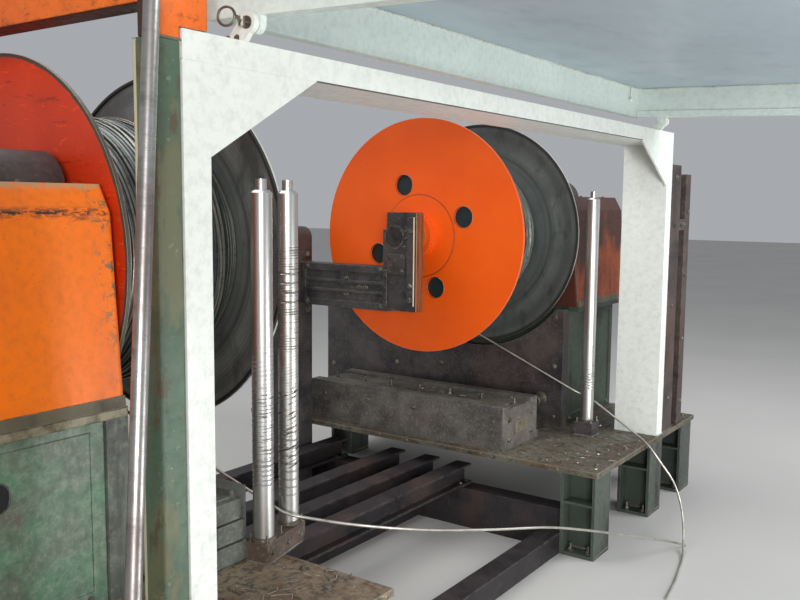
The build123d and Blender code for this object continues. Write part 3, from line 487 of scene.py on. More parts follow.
def scored_steel(name, centre, bands):
    """Guide roller, bright from use, cut by rings and slanted grooves where the trim ran."""
    p = Paint(name)
    x, y, z = p.xyz()
    angle = p.math("ARCTAN2", p.math("SUBTRACT", y, centre[1]), p.math("SUBTRACT", x, centre[0]))
    dull = p.noise(6.0, 5.0, 0.62, p.stretched((1.0, 1.0, 0.4)))
    colour = p.mix(p.steps(dull, 0.42, 0.68), srgb(206, 206, 204), srgb(176, 174, 168))
    fine = p.noise(1.0, 4.0, 0.7, p.join(p.math("MULTIPLY", x, 8.0), p.math("MULTIPLY", y, 8.0), p.math("MULTIPLY", z, 220.0)))
    colour = p.mix(p.steps(fine, 0.56, 0.76, 0.0, 0.18), colour, srgb(120, 114, 104))
    stain = p.math("MULTIPLY", p.steps(p.noise(15.0, 6.0, 0.66), 0.64, 0.74), 0.3)
    colour = p.mix(stain, colour, srgb(130, 112, 92))
    cut = 0.0
    for k, (low, high, pitch, slant, depth) in enumerate(bands):
        sway = p.math("MULTIPLY", p.math("SUBTRACT", p.noise(1.6, 2.0, 0.5, p.join(angle, p.math("MULTIPLY", z, 9.0), float(k))), 0.5), 0.5 * pitch)
        height = p.math("ADD", p.math("SUBTRACT", z, p.math("MULTIPLY", angle, slant)), sway)
        wave = p.math("SINE", p.math("MULTIPLY", height, 2.0 * math.pi / pitch))
        strong = p.noise(1.0, 3.0, 0.6, p.join(p.math("MULTIPLY", height, 0.35 / pitch), 3.7 * k, p.math("MULTIPLY", angle, 0.5)))
        line = p.math("ADD", p.math("MULTIPLY", wave, 0.07), p.math("ADD", p.math("MULTIPLY", strong, 0.5), 0.29))
        inside = both(p, p.steps(z, low - 0.012, low + 0.012), p.steps(z, high + 0.012, high - 0.012))
        cut = p.math("MAXIMUM", cut, both(p, p.steps(line, 0.585, 0.63), inside, depth))
    colour = p.mix(cut, colour, srgb(56, 48, 42))
    rough = p.steps(p.math("ADD", p.math("ADD", p.math("MULTIPLY", fine, 0.2), dull), cut), 0.5, 1.8, 0.30, 0.6)
    p.bump(p.math("SUBTRACT", 1.0, cut), 0.2, 0.0005)
    return p.finish(colour, rough, p.steps(p.math("MAXIMUM", stain, cut), 0.0, 0.8, 0.93, 0.35))


def clean_door(name, light, dark):
    """Smooth pale skin of the raised door, with soft smudges."""
    p = Paint(name)
    cloud = p.noise(1.1, 3.0)
    smudge = p.noise(8.0, 5.0, 0.6, p.stretched((1.0, 0.5, 1.0)))
    colour = p.mix(p.steps(cloud, 0.35, 0.65), srgb(*light), srgb(*dark))
    colour = p.mix(p.steps(smudge, 0.55, 0.75, 0.0, 0.25), colour, srgb(*[int(v * 0.72) for v in dark]))
    fine = p.noise(120.0, 3.0)
    p.bump(fine, 0.08, 0.0008)
    return p.finish(colour, p.steps(smudge, 0.3, 0.7, 0.34, 0.52))


looks = {
    "portal_white": worn_paint("portal_white", (234, 237, 231), (226, 231, 224), (150, 144, 132), 0.12, 0.05, 0.40, 0.001, (104, 98, 84), seam_and_shade_marks),
    "reel_orange": turned_paint("reel_orange", (250, 98, 10), (240, 88, 8), (92, 42, 22), 0.06),
    "reel_red": turned_paint("reel_red", (220, 62, 14), (190, 46, 14), (84, 40, 30), 0.75, 1.0),
    "cover_orange": worn_paint("cover_orange", (246, 122, 6), (238, 110, 4), (64, 52, 46), 0.30, 0.20, 0.40, 0.006, (150, 76, 26), cover_marks),
    "cap_orange": worn_paint("cap_orange", (240, 116, 22), (222, 92, 20), (84, 56, 44), 0.5, 0.35, 0.40, 0.006, (110, 50, 28), cap_marks),
    "cover_brown": worn_paint("cover_brown", (170, 78, 28), (128, 58, 26), (40, 34, 30), 0.60, 0.7, 0.44, 0.008, (60, 34, 24), brown_cover_marks),
    "machine_green": worn_paint("machine_green", (102, 142, 112), (86, 116, 96), (92, 84, 76), 0.40, 0.80, 0.46, 0.003, (92, 92, 80), base_marks),
    "dark_green": worn_paint("dark_green", (66, 82, 66), (40, 46, 38), (96, 90, 78), 0.55, 0.95, 0.46, 0.004, (36, 32, 28)),
    "wall_grey_green": worn_paint("wall_grey_green", (94, 100, 92), (70, 74, 68), (134, 128, 116), 0.35, 0.8, 0.5, 0.003, (56, 52, 46), wall_marks),
    "column_green": worn_paint("column_green", (82, 106, 86), (70, 84, 66), (140, 144, 128), 0.55, 0.9, 0.46, 0.004, (72, 66, 50), column_marks),
    "dark_casting": oily_iron("dark_casting", (76, 71, 70), (40, 37, 39), 0.36, 0.10),
    "head_iron": oily_iron("head_iron", (70, 64, 63), (36, 33, 35), 0.34, 0.08, 0.9, head_marks),
    "bed_iron": oily_iron("bed_iron", (104, 100, 94), (66, 62, 60), 0.40, 0.12, 0.9),
    "bed_grey": oily_iron("bed_grey", (120, 124, 116), (80, 84, 78), 0.42, 0.10, 0.9),
    "post_iron": oily_iron("post_iron", (78, 66, 62), (40, 34, 34), 0.34, 0.2, 1.0),
    "stand_iron": oily_iron("stand_iron", (98, 82, 70), (54, 44, 39), 0.42, 0.30, 0.8),
    "dark_frame": oily_iron("dark_frame", (48, 42, 44), (25, 22, 25), 0.42, 0.15),
    "table_steel": table_plate("table_steel", (116, 110, 94), (76, 70, 58)),
    "left_plate": table_plate("left_plate", (150, 134, 112), (104, 88, 70)),
    "leg_green": worn_paint("leg_green", (74, 86, 76), (52, 56, 52), (112, 106, 98), 0.6, 1.0, 0.42, 0.004, (40, 34, 34)),
    "polished_roller": polished("polished_roller", (214, 212, 202), (172, 166, 152), 300.0),
    "roller_one": scored_steel("roller_one", ROLLERS["left_roller_1"], ((0.83, 1.07, 0.0115, 0.0015, 0.8), (1.06, 1.20, 0.014, 0.0, 0.3))),
    "roller_two": scored_steel("roller_two", ROLLERS["left_roller_2"], ((0.77, 1.04, 0.0160, 0.0120, 1.0), (1.03, 1.16, 0.010, 0.006, 0.35), (1.16, 1.54, 0.0085, 0.001, 0.75))),
    "roller_three": scored_steel("roller_three", ROLLERS["right_roller"], ((0.70, 0.82, 0.010, 0.002, 0.4), (1.10, 1.30, 0.012, 0.0, 0.15))),
    "polished_bar": polished("polished_bar", (190, 188, 184), (140, 132, 130), 24.0, shine=0.22),
    "flange_steel": turned_steel("flange_steel", (102, 108, 106), (70, 75, 73), 1.456),
    "flange_steel_left": turned_steel("flange_steel_left", (132, 138, 134), (90, 94, 91), -0.838),
    "hub_orange": two_tone_hub("hub_orange", (232, 90, 18), (74, 68, 64), 0.7135, 0.8495),
    "coil_steel": wound_strip("coil_steel", (156, 162, 156), (70, 74, 74)),
    "strand_steel": polished("strand_steel", (214, 210, 200), (170, 164, 152), 40.0, shine=0.28),
    "door_blue_grey": clean_door("door_blue_grey", (172, 186, 194), (160, 174, 183)),
    "door_rim": worn_paint("door_rim", (226, 236, 230), (214, 224, 218), (150, 144, 132), 0.15, 0.06, 0.40, 0.002, (100, 96, 84)),
}

node_looks = {
    "reel_1_front_flange": "reel_red", "reel_2_front_flange": "reel_orange",
    "reel_1_rear_flange": "flange_steel_left", "reel_2_rear_flange": "flange_steel",
    "reel_1_core": "flange_steel", "reel_2_core": "hub_orange",
    "reel_1_coil": "coil_steel", "reel_2_coil": "coil_steel",
    "left_drive_cover": "cover_orange", "right_drive_cover": "cover_brown",
    "left_column_cap": "cap_orange", "top_beam": "cap_orange",
    "left_column": "column_green", "left_rear_column": "column_green",
    "left_drive_base": "machine_green", "right_drive_base": "dark_green",
    "left_drive_wall": "wall_grey_green", "left_bed": "bed_grey", "right_bed": "bed_iron",
    "left_bearing_head": "head_iron", "right_bearing_head": "head_iron",
    "left_roller_stand": "stand_iron", "right_roller_stand": "dark_casting",
    "right_column": "post_iron", "right_side_post": "post_iron",
    "left_floor_beam": "dark_frame", "right_floor_beam": "dark_frame", "floor_ties": "dark_frame", "cross_beams": "dark_frame",
    "left_table_top": "left_plate", "right_table_top": "table_steel",
    "left_table_legs": "leg_green", "right_table_legs": "leg_green",
    "portal_header": "portal_white", "portal_gussets": "portal_white",
    "portal_left_post": "portal_white", "portal_right_post": "portal_white",
    "hinge_brackets": "portal_white", "door_skin": "door_blue_grey",
    "door_front_rim": "door_rim", "door_rear_rim": "door_rim", "door_side_rims": "door_rim",
    "left_roller_1": "roller_one", "left_roller_2": "roller_two", "right_roller": "roller_three",
    "leaning_bar": "polished_bar", "trim_strand_1": "strand_steel", "trim_strand_2": "strand_steel",
}
for name in nodes:
    look = node_looks.get(name, "dark_casting")
    mesh = nodes[name].data
    mesh.materials.clear()
    mesh.materials.append(looks[look])


looks["bolt_steel"] = polished("bolt_steel", (150, 146, 136), (92, 86, 78), 60.0, shine=0.38)
looks["weld_orange"] = worn_paint("weld_orange", (158, 56, 18), (126, 42, 16), (84, 40, 24), 0.3, 0.5)
looks["foot_grey"] = worn_paint("foot_grey", (112, 104, 84), (76, 70, 56), (150, 144, 124), 0.6, 0.6, 0.5, 0.003, (50, 44, 36))
looks["weld_bead"] = oily_iron("weld_bead", (120, 114, 104), (70, 66, 62), 0.36, 0.3)
looks["white_weld"] = worn_paint("white_weld", (220, 226, 218), (198, 204, 194), (120, 112, 100), 0.3, 0.3)
# black material for the painted shade inside the hand hole
looks["hole_shade_black"] = oily_iron("hole_shade_black", (30, 30, 32), (18, 18, 20), 0.5, 0.0)


# Rounded edges on the CAD pieces

def soften(name, width, segments=2):
    """Join the piece's split corners and round its hard edges."""
    piece = nodes[name]
    weld = piece.modifiers.new("join", "WELD")
    weld.merge_threshold = 0.00005
    bevel = piece.modifiers.new("round", "BEVEL")
    bevel.width = width
    bevel.segments = segments
    bevel.limit_method = "ANGLE"
    bevel.angle_limit = math.radians(38)
    bevel.use_clamp_overlap = True
    bevel.harden_normals = True


# Building pieces from mesh code

class Shape:
    """Vertices and faces gathered for one piece."""

    def __init__(self):
        self.verts, self.faces = [], []

    def add(self, verts, faces, turn=None):
        start = len(self.verts)
        self.verts += [tuple(turn @ Vector(v)) for v in verts] if turn else [tuple(v) for v in verts]
        self.faces += [tuple(i + start for i in f) for f in faces]

    def rings(self, rings, closed_low=True, closed_high=True, turn=None):
        """Skin over rings that all have the same number of points."""
        n = len(rings[0])
        verts = [v for ring in rings for v in ring]
        faces = []
        for k in range(len(rings) - 1):
            for i in range(n):
                j = (i + 1) % n
                faces.append((k * n + i, k * n + j, (k + 1) * n + j, (k + 1) * n + i))
        if closed_low:
            faces.append(tuple(reversed(range(n))))
        if closed_high:
            faces.append(tuple(range((len(rings) - 1) * n, len(rings) * n)))
        self.add(verts, faces, turn)

    def box(self, low, high, turn=None):
        (a, b, c), (d, e, f) = low, high
        verts = [(x, y, z) for z in (c, f) for x, y in ((a, b), (d, b), (d, e), (a, e))]
        self.add(verts, [(3, 2, 1, 0), (4, 5, 6, 7), (0, 1, 5, 4), (1, 2, 6, 5), (2, 3, 7, 6), (3, 0, 4, 7)], turn)

    def lathe(self, profile, count, turn=None, closed=False):
        """Turn a profile of radius and height about the local Z axis."""
        rings = []
        for r, h in profile:
            rings.append([(r * math.cos(t), r * math.sin(t), h) for t in turns(count)])
        if closed:
            rings.append(rings[0])
        self.rings(rings, not closed and profile[0][0] > 0, not closed and profile[-1][0] > 0, turn)

    def tube(self, points, radius, count=8, ends=True, wobble=0.0, seed=1):
        """Round tube along points; wobble makes it lumpy, as a weld bead is."""
        points = [Vector(q) for q in points]
        luck = random.Random(seed)
        rings = []
        up = None
        for k, q in enumerate(points):
            ahead = points[min(k + 1, len(points) - 1)] - points[max(k - 1, 0)]
            ahead.normalize()
            if up is None:
                up = ahead.orthogonal().normalized()
            up = (up - ahead * up.dot(ahead)).normalized()
            side = ahead.cross(up)
            r = radius * (1 + wobble * (luck.random() * 2 - 1))
            rings.append([q + (up * math.cos(t) + side * math.sin(t)) * r for t in turns(count)])
        self.rings(rings, ends, ends)

    def bolt(self, place, normal, size, washer=True):
        """Hexagon head with a chamfered top, on its washer. Size is the head's radius."""
        turn = aimed(place, normal)
        spin = (place[0] * 7.1 + place[1] * 3.3 + place[2] * 5.7) % 1.0
        hexagon = [(math.cos(t + spin), math.sin(t + spin)) for t in turns(6)]
        low = 0.0
        if washer:
            low = size * 0.2
            self.lathe([(size * 1.38, 0.0), (size * 1.38, low * 0.7), (size * 1.3, low), (0.0, low)], 16, turn)
        rings = [[(x * r, y * r, h) for x, y in hexagon] for r, h in (
            (size, low), (size, low + size * 0.55), (size * 0.86, low + size * 0.68))]
        self.rings(rings, True, True, turn)

    def nut_on_stud(self, place, normal, size, reach):
        """Nut with the end of its stud standing out."""
        self.bolt(place, normal, size)
        turn = aimed(place, normal)
        self.lathe([(size * 0.52, 0.0), (size * 0.52, reach - size * 0.1), (size * 0.42, reach), (0.0, reach)], 12, turn)

    def weld(self, start, end, radius, seed=1):
        """Lumpy bead in a straight run."""
        start, end = Vector(start), Vector(end)
        count = max(4, int((end - start).length / (radius * 1.6)))
        self.tube([start.lerp(end, k / count) for k in range(count + 1)], radius, 6, True, 0.22, seed)

    def piece(self, name, look, body="frame", smooth=32.0, bevel=0.0, replaces=()):
        mesh = bpy.data.meshes.new(name)
        mesh.from_pydata(self.verts, [], self.faces)
        mesh.validate()
        tidy = bmesh.new()
        tidy.from_mesh(mesh)
        bmesh.ops.recalc_face_normals(tidy, faces=tidy.faces)
        tidy.to_mesh(mesh)
        tidy.free()
        mesh.polygons.foreach_set("use_smooth", [True] * len(mesh.polygons))
        mesh.set_sharp_from_angle(angle=math.radians(smooth))
        mesh.materials.append(looks[look])
        made = bpy.data.objects.new(name, mesh)
        bpy.context.scene.collection.objects.link(made)
        if bevel:
            rounding = made.modifiers.new("round", "BEVEL")
            rounding.width = bevel
            rounding.segments = 2
            rounding.limit_method = "ANGLE"
            rounding.angle_limit = math.radians(38)
            rounding.harden_normals = True
        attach(made, body)
        if replaces:
            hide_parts(*replaces)
        return made


def turns(count):
    return [2 * math.pi * k / count for k in range(count)]


def aimed(place, normal):
    """Matrix that puts a local form at a place with its Z axis along the normal."""
    turn = Vector(normal).to_track_quat("Z", "Y").to_matrix().to_4x4()
    return Matrix.Translation(place) @ turn


def circle_of(centre, normal, radius, count, start=0.0):
    """Places evenly round a circle."""
    turn = aimed(centre, normal)
    return [tuple(turn @ Vector((radius * math.cos(t + start), radius * math.sin(t + start), 0))) for t in turns(count)]


# Loose ends of the two edge trims

STRAND_ROUTES = {
    "trim_strand_1": (
        (-0.1947, -1.1600, 1.0593),
        (0.6139, -0.9304, 0.6579),
        (0.6660, -0.9156, 0.6320),
        (0.7180, -0.8860, 0.6220),
        (0.7980, -0.7670, 0.5820),
        (0.8610, -0.6292, 0.5414),
        (0.9002, -0.5083, 0.5072),
        (0.9336, -0.3861, 0.4740),
        (0.9654, -0.2634, 0.4454),
        (0.9982, -0.1405, 0.4170),
        (1.0352, -0.0178, 0.3920),
        (1.0758, 0.1047, 0.3691),
        (1.1117, 0.2279, 0.3379),
        (1.1377, 0.3523, 0.2987),
        (1.1595, 0.4764, 0.2582),
        (1.1824, 0.5995, 0.2164),
        (1.2048, 0.7219, 0.1747),
        (1.2287, 0.8433, 0.1335),
        (1.2574, 0.9616, 0.0935),
        (1.2897, 1.0789, 0.0541),
        (1.3224, 1.1950, 0.0052),
    ),
    "trim_strand_2": (
        (-0.1961, 1.2149, 1.0688),
        (0.5877, 1.3903, 0.6631),
        (0.6400, 1.4020, 0.6360),
        (0.6900, 1.4280, 0.6100),
        (0.7480, 1.4280, 0.5880),
        (0.8520, 1.3900, 0.5400),
        (0.9450, 1.3720, 0.4930),
        (1.0560, 1.3420, 0.4400),
        (1.1090, 1.3300, 0.3900),
        (1.1500, 1.3380, 0.3350),
        (1.2100, 1.3400, 0.2620),
        (1.2630, 1.2970, 0.1700),
        (1.2980, 1.2370, 0.0880),
        (1.3254, 1.1544, 0.0323),
        (1.3540, 1.0570, 0.0050),
        (1.3840, 0.9220, 0.0052),
        (1.4080, 0.7920, 0.0050),
        (1.4270, 0.6670, 0.0052),
        (1.4390, 0.5620, 0.0050),
    ),
}


def strand(name):
    """Springy strand from its coil over the guide roller and down to the floor."""
    curve = bpy.data.curves.new(name + "_loose", "CURVE")
    curve.dimensions = "3D"
    curve.bevel_depth = 0.005
    curve.bevel_resolution = 3
    curve.resolution_u = 10
    curve.use_fill_caps = True
    run = curve.splines.new("NURBS")
    points = STRAND_ROUTES[name]
    run.points.add(len(points) - 1)
    for point, place in zip(run.points, points):
        point.co = (*place, 1.0)
    run.order_u = 3
    run.use_endpoint_u = True
    curve.materials.append(looks["strand_steel"])
    made = bpy.data.objects.new(name + "_loose", curve)
    bpy.context.scene.collection.objects.link(made)
    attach(made, "frame")
    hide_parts(name)


for name in STRAND_ROUTES:
    strand(name)


# Coils of wound trim

def coil_radius(share):
    """Radius of the CAD coil at a share of its width, from an arc through its three heights."""
    low, mid, high = (0.002, 0.405), (0.297, 0.444), (0.592, 0.352)
    y = 0.002 + share * 0.59
    a = (y - mid[0]) * (y - high[0]) / ((low[0] - mid[0]) * (low[0] - high[0]))
    b = (y - low[0]) * (y - high[0]) / ((mid[0] - low[0]) * (mid[0] - high[0]))
    c = (y - low[0]) * (y - mid[0]) / ((high[0] - low[0]) * (high[0] - mid[0]))
    return low[1] * a + mid[1] * b + high[1] * c


def coil(number, side, seed):
    """Coil with its turns laid side by side, some proud and some sunk."""
    luck = random.Random(seed)
    strips, across, around = 46, 4, 168
    start_y = side * 0.850 if side > 0 else -0.850
    heights = [luck.uniform(-0.007, 0.0) for _ in range(strips)]
    leans = [(luck.uniform(0.0, 0.004), luck.random() * 6.28, luck.choice((1, 1, 2))) for _ in range(strips)]
    profile = ((0.0, -0.0035), (0.18, 0.0), (0.82, 0.0), (1.0, -0.0035))
    rings = []
    for k in range(strips):
        for part, dip in profile:
            share = (k + part) / strips
            ring = []
            for t in turns(around):
                amount, phase, times = leans[k]
                r = coil_radius(share) - 0.0035 + heights[k] + dip
                r -= amount * (0.5 + 0.5 * math.sin(times * t + phase))
                r -= 0.0025 * abs(noise.noise(Vector((math.cos(t) * 3 + k * 0.7, math.sin(t) * 3, seed))))
                y = start_y + side * (0.003 + share * 0.588)
                ring.append((r * math.cos(t), y, AXIS_Z + r * math.sin(t)))
            rings.append(ring)
    inner = 0.215
    low = [(inner * math.cos(t), rings[0][0][1], AXIS_Z + inner * math.sin(t)) for t in turns(around)]
    high = [(inner * math.cos(t), rings[-1][0][1], AXIS_Z + inner * math.sin(t)) for t in turns(around)]
    shape = Shape()
    shape.rings([low, *rings, high, low], False, False)
    shape.piece(f"reel_{number}_wound_trim", "coil_steel", f"reel_{number}", 40.0, replaces=(f"reel_{number}_coil",))


def loose_turns(number, side, seed, count):
    """A few turns that wander over the coil."""
    luck = random.Random(seed)
    shape = Shape()
    for k in range(count):
        place = luck.uniform(0.08, 0.9)
        sway, phase, lift_phase = luck.uniform(0.02, 0.07), luck.random() * 6.28, luck.random() * 6.28
        points = []
        for t in turns(96):
            share = min(0.97, max(0.03, place + sway * math.sin(t + phase) + 0.02 * math.sin(3 * t + k)))
            r = coil_radius(share) - 0.0045 + 0.003 * math.sin(2 * t + lift_phase)
            points.append((r, side * (0.853 + share * 0.588), t))
        rings = []
        for r, y, t in points:
            ring = []
            for dr, dy in ((-0.001, -0.0045), (0.001, -0.0045), (0.001, 0.0045), (-0.001, 0.0045)):
                ring.append(((r + dr) * math.cos(t), y + dy, AXIS_Z + (r + dr) * math.sin(t)))
            rings.append(ring)
        shape.rings([*rings, rings[0]], False, False)
    shape.piece(f"reel_{number}_loose_turns", "strand_steel", f"reel_{number}", 40.0)


for number, side in ((1, -1), (2, 1)):
    coil(number, side, 11 + number)
    loose_turns(number, side, 31 + number, 9)


# Reels: hub bolts, weld rings, lips of the hand holes

def reel_details(number, side):
    body = f"reel_{number}"
    look = "reel_red" if number == 1 else "reel_orange"
    front = side * 1.147 - 0.297 - 0.012
    rear = side * 1.147 + 0.297 + 0.012
    bolts = Shape()
    for place in circle_of((0, rear, AXIS_Z), (0, 1, 0), 0.165, 8, 0.5):
        bolts.bolt(place, (0, 1, 0), 0.0095)
    bolts.piece(f"{body}_flange_bolts", "bolt_steel", body)
    beads = Shape()
    ring = circle_of((0, front - 0.0005, AXIS_Z), (0, -1, 0), 0.2115, 150)
    beads.tube([*ring, ring[0]], 0.0032, 6, False, 0.25, 5)
    for k, (y, out) in enumerate(((front - 0.0005, -1), (rear + 0.0005, 1))):
        ring = circle_of((0, y, AXIS_Z), (0, out, 0), 0.1115, 90)
        beads.tube([*ring, ring[0]], 0.0034, 6, False, 0.25, 8 + k)
    beads.piece(f"{body}_weld_rings", "weld_orange", body)
    rims = Shape()
    for k in range(4):
        t = math.radians(21 + 90 * k)
        for y, out in ((front, -1), (rear, 1)):
            centre = (0.28 * math.cos(t), y, AXIS_Z + 0.28 * math.sin(t))
            ring = circle_of(centre, (0, out, 0), 0.0535, 40)
            rims.tube([*ring, ring[0]], 0.0016, 6, False)
    rims.piece(f"{body}_hole_lips", "bolt_steel", body)


for number, side in ((1, -1), (2, 1)):
    reel_details(number, side)


# Bearing heads and arms

def head_details(name, side):
    """Cover ring, keeper plates and bolts on a bearing head."""
    face = side * 0.624
    out = (0, -side, 0)
    plates = Shape()
    plates.lathe([(0.052, 0.0), (0.0585, 0.0), (0.0585, 0.004), (0.052, 0.004)], 40, aimed((0, face - side * 0.010, AXIS_Z), out), True)
    plates.box((-0.046, min(face, face - side * 0.008), AXIS_Z - 0.185), (0.060, max(face, face - side * 0.008), AXIS_Z - 0.085))
    plates.box((0.078, min(face, face - side * 0.012), AXIS_Z - 0.34), (0.116, max(face, face - side * 0.012), AXIS_Z + 0.10))
    plates.box((-0.070, min(face, face - side * 0.006), AXIS_Z - 0.345), (-0.048, max(face, face - side * 0.006), AXIS_Z - 0.165))
    plates.piece(f"{name}_head_plates", "head_iron", bevel=0.0015)
    bolts = Shape()
    for place in circle_of((0, face - side * 0.010, AXIS_Z), out, 0.0525, 6, 0.3):
        bolts.bolt(place, out, 0.0055, False)
    for x, z in ((0.097, 0.03), (0.097, -0.24), (0.097, -0.31)):
        bolts.bolt((x, face - side * 0.012, AXIS_Z + z), out, 0.010)
    for x, z in ((-0.032, -0.10), (0.046, -0.10), (-0.032, -0.17), (0.046, -0.17)):
        bolts.bolt((x, face - side * 0.008, AXIS_Z + z), out, 0.008)
    for z in (-0.31, -0.26, -0.20):
        bolts.bolt((-0.059, face - side * 0.006, AXIS_Z + z), out, 0.007)
    for x, z in ((0.068, 0.030), (0.068, -0.005), (0.052, -0.045)):
        bolts.nut_on_stud((x, face, AXIS_Z + z), out, 0.006, 0.016)
    bolts.piece(f"{name}_head_bolts", "bolt_steel")


def arm_details(name, side):
    """Nuts and a clamp on the arm, bolts at its rear column, gusset and foot bolts."""
    face = side * 0.640
    out = (0, -side, 0)
    nuts = Shape()
    for x in (-0.10, -0.59):
        for z in (1.103, 1.292):
            nuts.bolt((x, face, z), out, 0.011)
    for x, z in ((-0.205, 1.197), (-0.245, 1.197), (-0.33, 1.238), (-0.33, 1.157)):
        nuts.nut_on_stud((x, face + side * 0.012, z), out, 0.010, 0.022)
    for x in (-0.10, -0.345, -0.59):
        for z in (1.103, 1.292):
            nuts.bolt((x, side * 0.735, z), (0, side, 0), 0.011)
    for z in (1.05, 1.35):
        for y in (0.595, 0.70):
            nuts.bolt((-0.640, side * y, z), (1, 0, 0), 0.014)
    for x in (-0.930, -0.610):
        for y in (0.60, 0.69):
            nuts.nut_on_stud((x, side * y, 0.030), (0, 0, 1), 0.016, 0.040)
    nuts.piece(f"{name}_arm_bolts", "bolt_steel")
    beads = Shape()
    for z in (1.085, 1.310):
        beads.weld((-0.641, side * 0.640, z), (-0.641, side * 0.735, z), 0.005, 3)
    for x, way in ((-0.640, 1), (-0.900, -1)):
        beads.weld((x, side * 0.56, 0.031), (x, side * 0.735, 0.031), 0.006, 4)
    beads.piece(f"{name}_arm_welds", "weld_bead")


for name, side in SIDE.items():
    head_details(name, side)
    arm_details(name, side)


# Rollers: screws in the clamp collars, studs, bolts and welds on the stands

def on_stand(u, w, z):
    """Point on the left stand from its own measures, along and across the row of rollers."""
    c, t = math.cos(STAND_TURN), math.sin(STAND_TURN)
    x, y = ROLLERS["left_roller_1"]
    return (x - u * t + w * c, y + u * c + w * t, z)


def roller_details():
    bolts = Shape()
    for name, top in (("left_roller_1", 0.597), ("left_roller_2", 0.597), ("right_roller", 0.502)):
        x, y = ROLLERS[name]
        for k in range(3):
            t = -0.9 + 2.09 * k
            way = (math.cos(t), math.sin(t), 0)
            bolts.bolt((x + 0.0378 * way[0], y + 0.0378 * way[1], top - 0.006), way, 0.0036, False)
    for u, w in ((-0.0295, 0.0295), (-0.0295, -0.0295), (0.066, 0.024), (0.094, -0.024), (0.1905, 0.0295), (0.1905, -0.0295)):
        bolts.nut_on_stud(on_stand(u, w, 0.585), (0, 0, 1), 0.0055, 0.024)
    across = (math.cos(STAND_TURN), math.sin(STAND_TURN), 0)
    for u in (-0.010, 0.085, 0.165):
        bolts.bolt(on_stand(u, 0.038, 0.553), across, 0.009)
    for dx in (-0.039, 0.039):
        for dy in (-0.039, 0.039):
            bolts.nut_on_stud((0.720 + dx, 1.380 + dy, 0.490), (0, 0, 1), 0.0068, 0.024)
    bolts.piece("stand_bolts", "bolt_steel")
    beads = Shape()
    left = [on_stand(u, w, 0.522) for u, w in ((-0.038, -0.038), (-0.038, 0.038), (0.180, 0.038), (0.180, -0.038))]
    right = [(x, y, 0.421) for x, y in ((0.670, 1.330), (0.770, 1.330), (0.770, 1.430), (0.670, 1.430))]
    for corners in (left, right):
        for k in range(4):
            beads.weld(corners[k], corners[(k + 1) % 4], 0.0045, k)
    beads.piece("stand_welds", "weld_bead")


roller_details()


# Tables, legs and the beams of the pit

def table_details(name, side):
    z = TABLE_Z[name]
    front = {"left": 1.130, "right": 1.050}[name]
    inner = {"left": 0.960, "right": 0.740}[name]
    row_x = {"left": 0.98, "right": 1.00}[name]  # on the left clear of the lowered door
    bolts = Shape()
    spots = [(row_x, inner + 0.12), (row_x, inner + 0.48), (row_x, inner + 0.90), (front - 0.30, inner + 0.05)]
    spots += [(-0.90, inner + 0.05), (-1.07, inner + 0.30), (-1.07, inner + 0.80), (-1.07, inner + 1.10), (row_x, 2.12), (0.75, 2.12)]
    for x, y in spots:
        bolts.bolt((x, side * y, z), (0, 0, 1), 0.012)
    for x in (front - 0.20, front - 0.55, 0.0, -0.45, -0.90):
        bolts.bolt((x, side * 2.170, z - 0.014), (0, side, 0), 0.006)
        bolts.bolt((x, side * inner, z - 0.014), (0, -side, 0), 0.006)
    for y in (inner + 0.22, inner + 0.62, 1.95):
        bolts.bolt((front, side * y, z - 0.014), (1, 0, 0), 0.006)
        bolts.bolt((-1.120, side * y, z - 0.014), (-1, 0, 0), 0.006)
    bolts.piece(f"{name}_table_bolts", "bolt_steel")
    rims = Shape()
    for x, y, r in ((front - 0.275, inner + 0.133, 0.014), (front - 0.16, inner + 0.30, 0.010), (0.45, inner + 0.10, 0.012)):
        ring = circle_of((x, side * y, z + 0.0005), (0, 0, 1), r, 26)
        rims.tube([*ring, ring[0]], 0.0024, 6, False, 0.15, 3)
    rims.weld((front - 0.002, side * (inner + 0.002), z - 0.004), (front - 0.002, side * (inner + 0.002), z - 0.024), 0.003, 7)
    rims.weld((front - 0.10, side * (inner + 0.36), z + 0.0002), (front - 0.42, side * (inner + 0.365), z + 0.0002), 0.0028, 9)
    rims.piece(f"{name}_table_plugs", "weld_bead")


def leg_details(name, side):
    z = TABLE_Z[name] - 0.012
    front = {"left": 1.130, "right": 1.050}[name]
    inner = {"left": 0.960, "right": 0.740}[name]
    xs = (-1.120 + 0.012 + 0.085, front - 0.012 - 0.085)
    ys = (inner + 0.012 + 0.090, 1.563, 2.064)
    plates, bolts, beads = Shape(), Shape(), Shape()
    for x in xs:
        for y in ys:
            y = side * y
            for way in (-1, 1):
                low_y, high_y = sorted((y + way * 0.006, y + way * 0.088))
                plates.box((x - 0.071, low_y, z - 0.16), (x + 0.071, high_y, z - 0.150))
                for dx in (-0.045, 0.045):
                    bolts.nut_on_stud((x + dx, y + way * 0.050, 0.016), (0, 0, 1), 0.013, 0.034)
                beads.weld((x - 0.068, y + way * 0.008, 0.018), (x + 0.068, y + way * 0.008, 0.018), 0.004, 2)
            for way in (-1, 1):
                beads.weld((x + way * 0.086, y - 0.085, 0.017), (x + way * 0.086, y + 0.085, 0.017), 0.0035, 3)
    plates.piece(f"{name}_leg_ribs", "leg_green", bevel=0.001)
    bolts.piece(f"{name}_leg_bolts", "bolt_steel")
    beads.piece(f"{name}_leg_welds", "weld_bead")


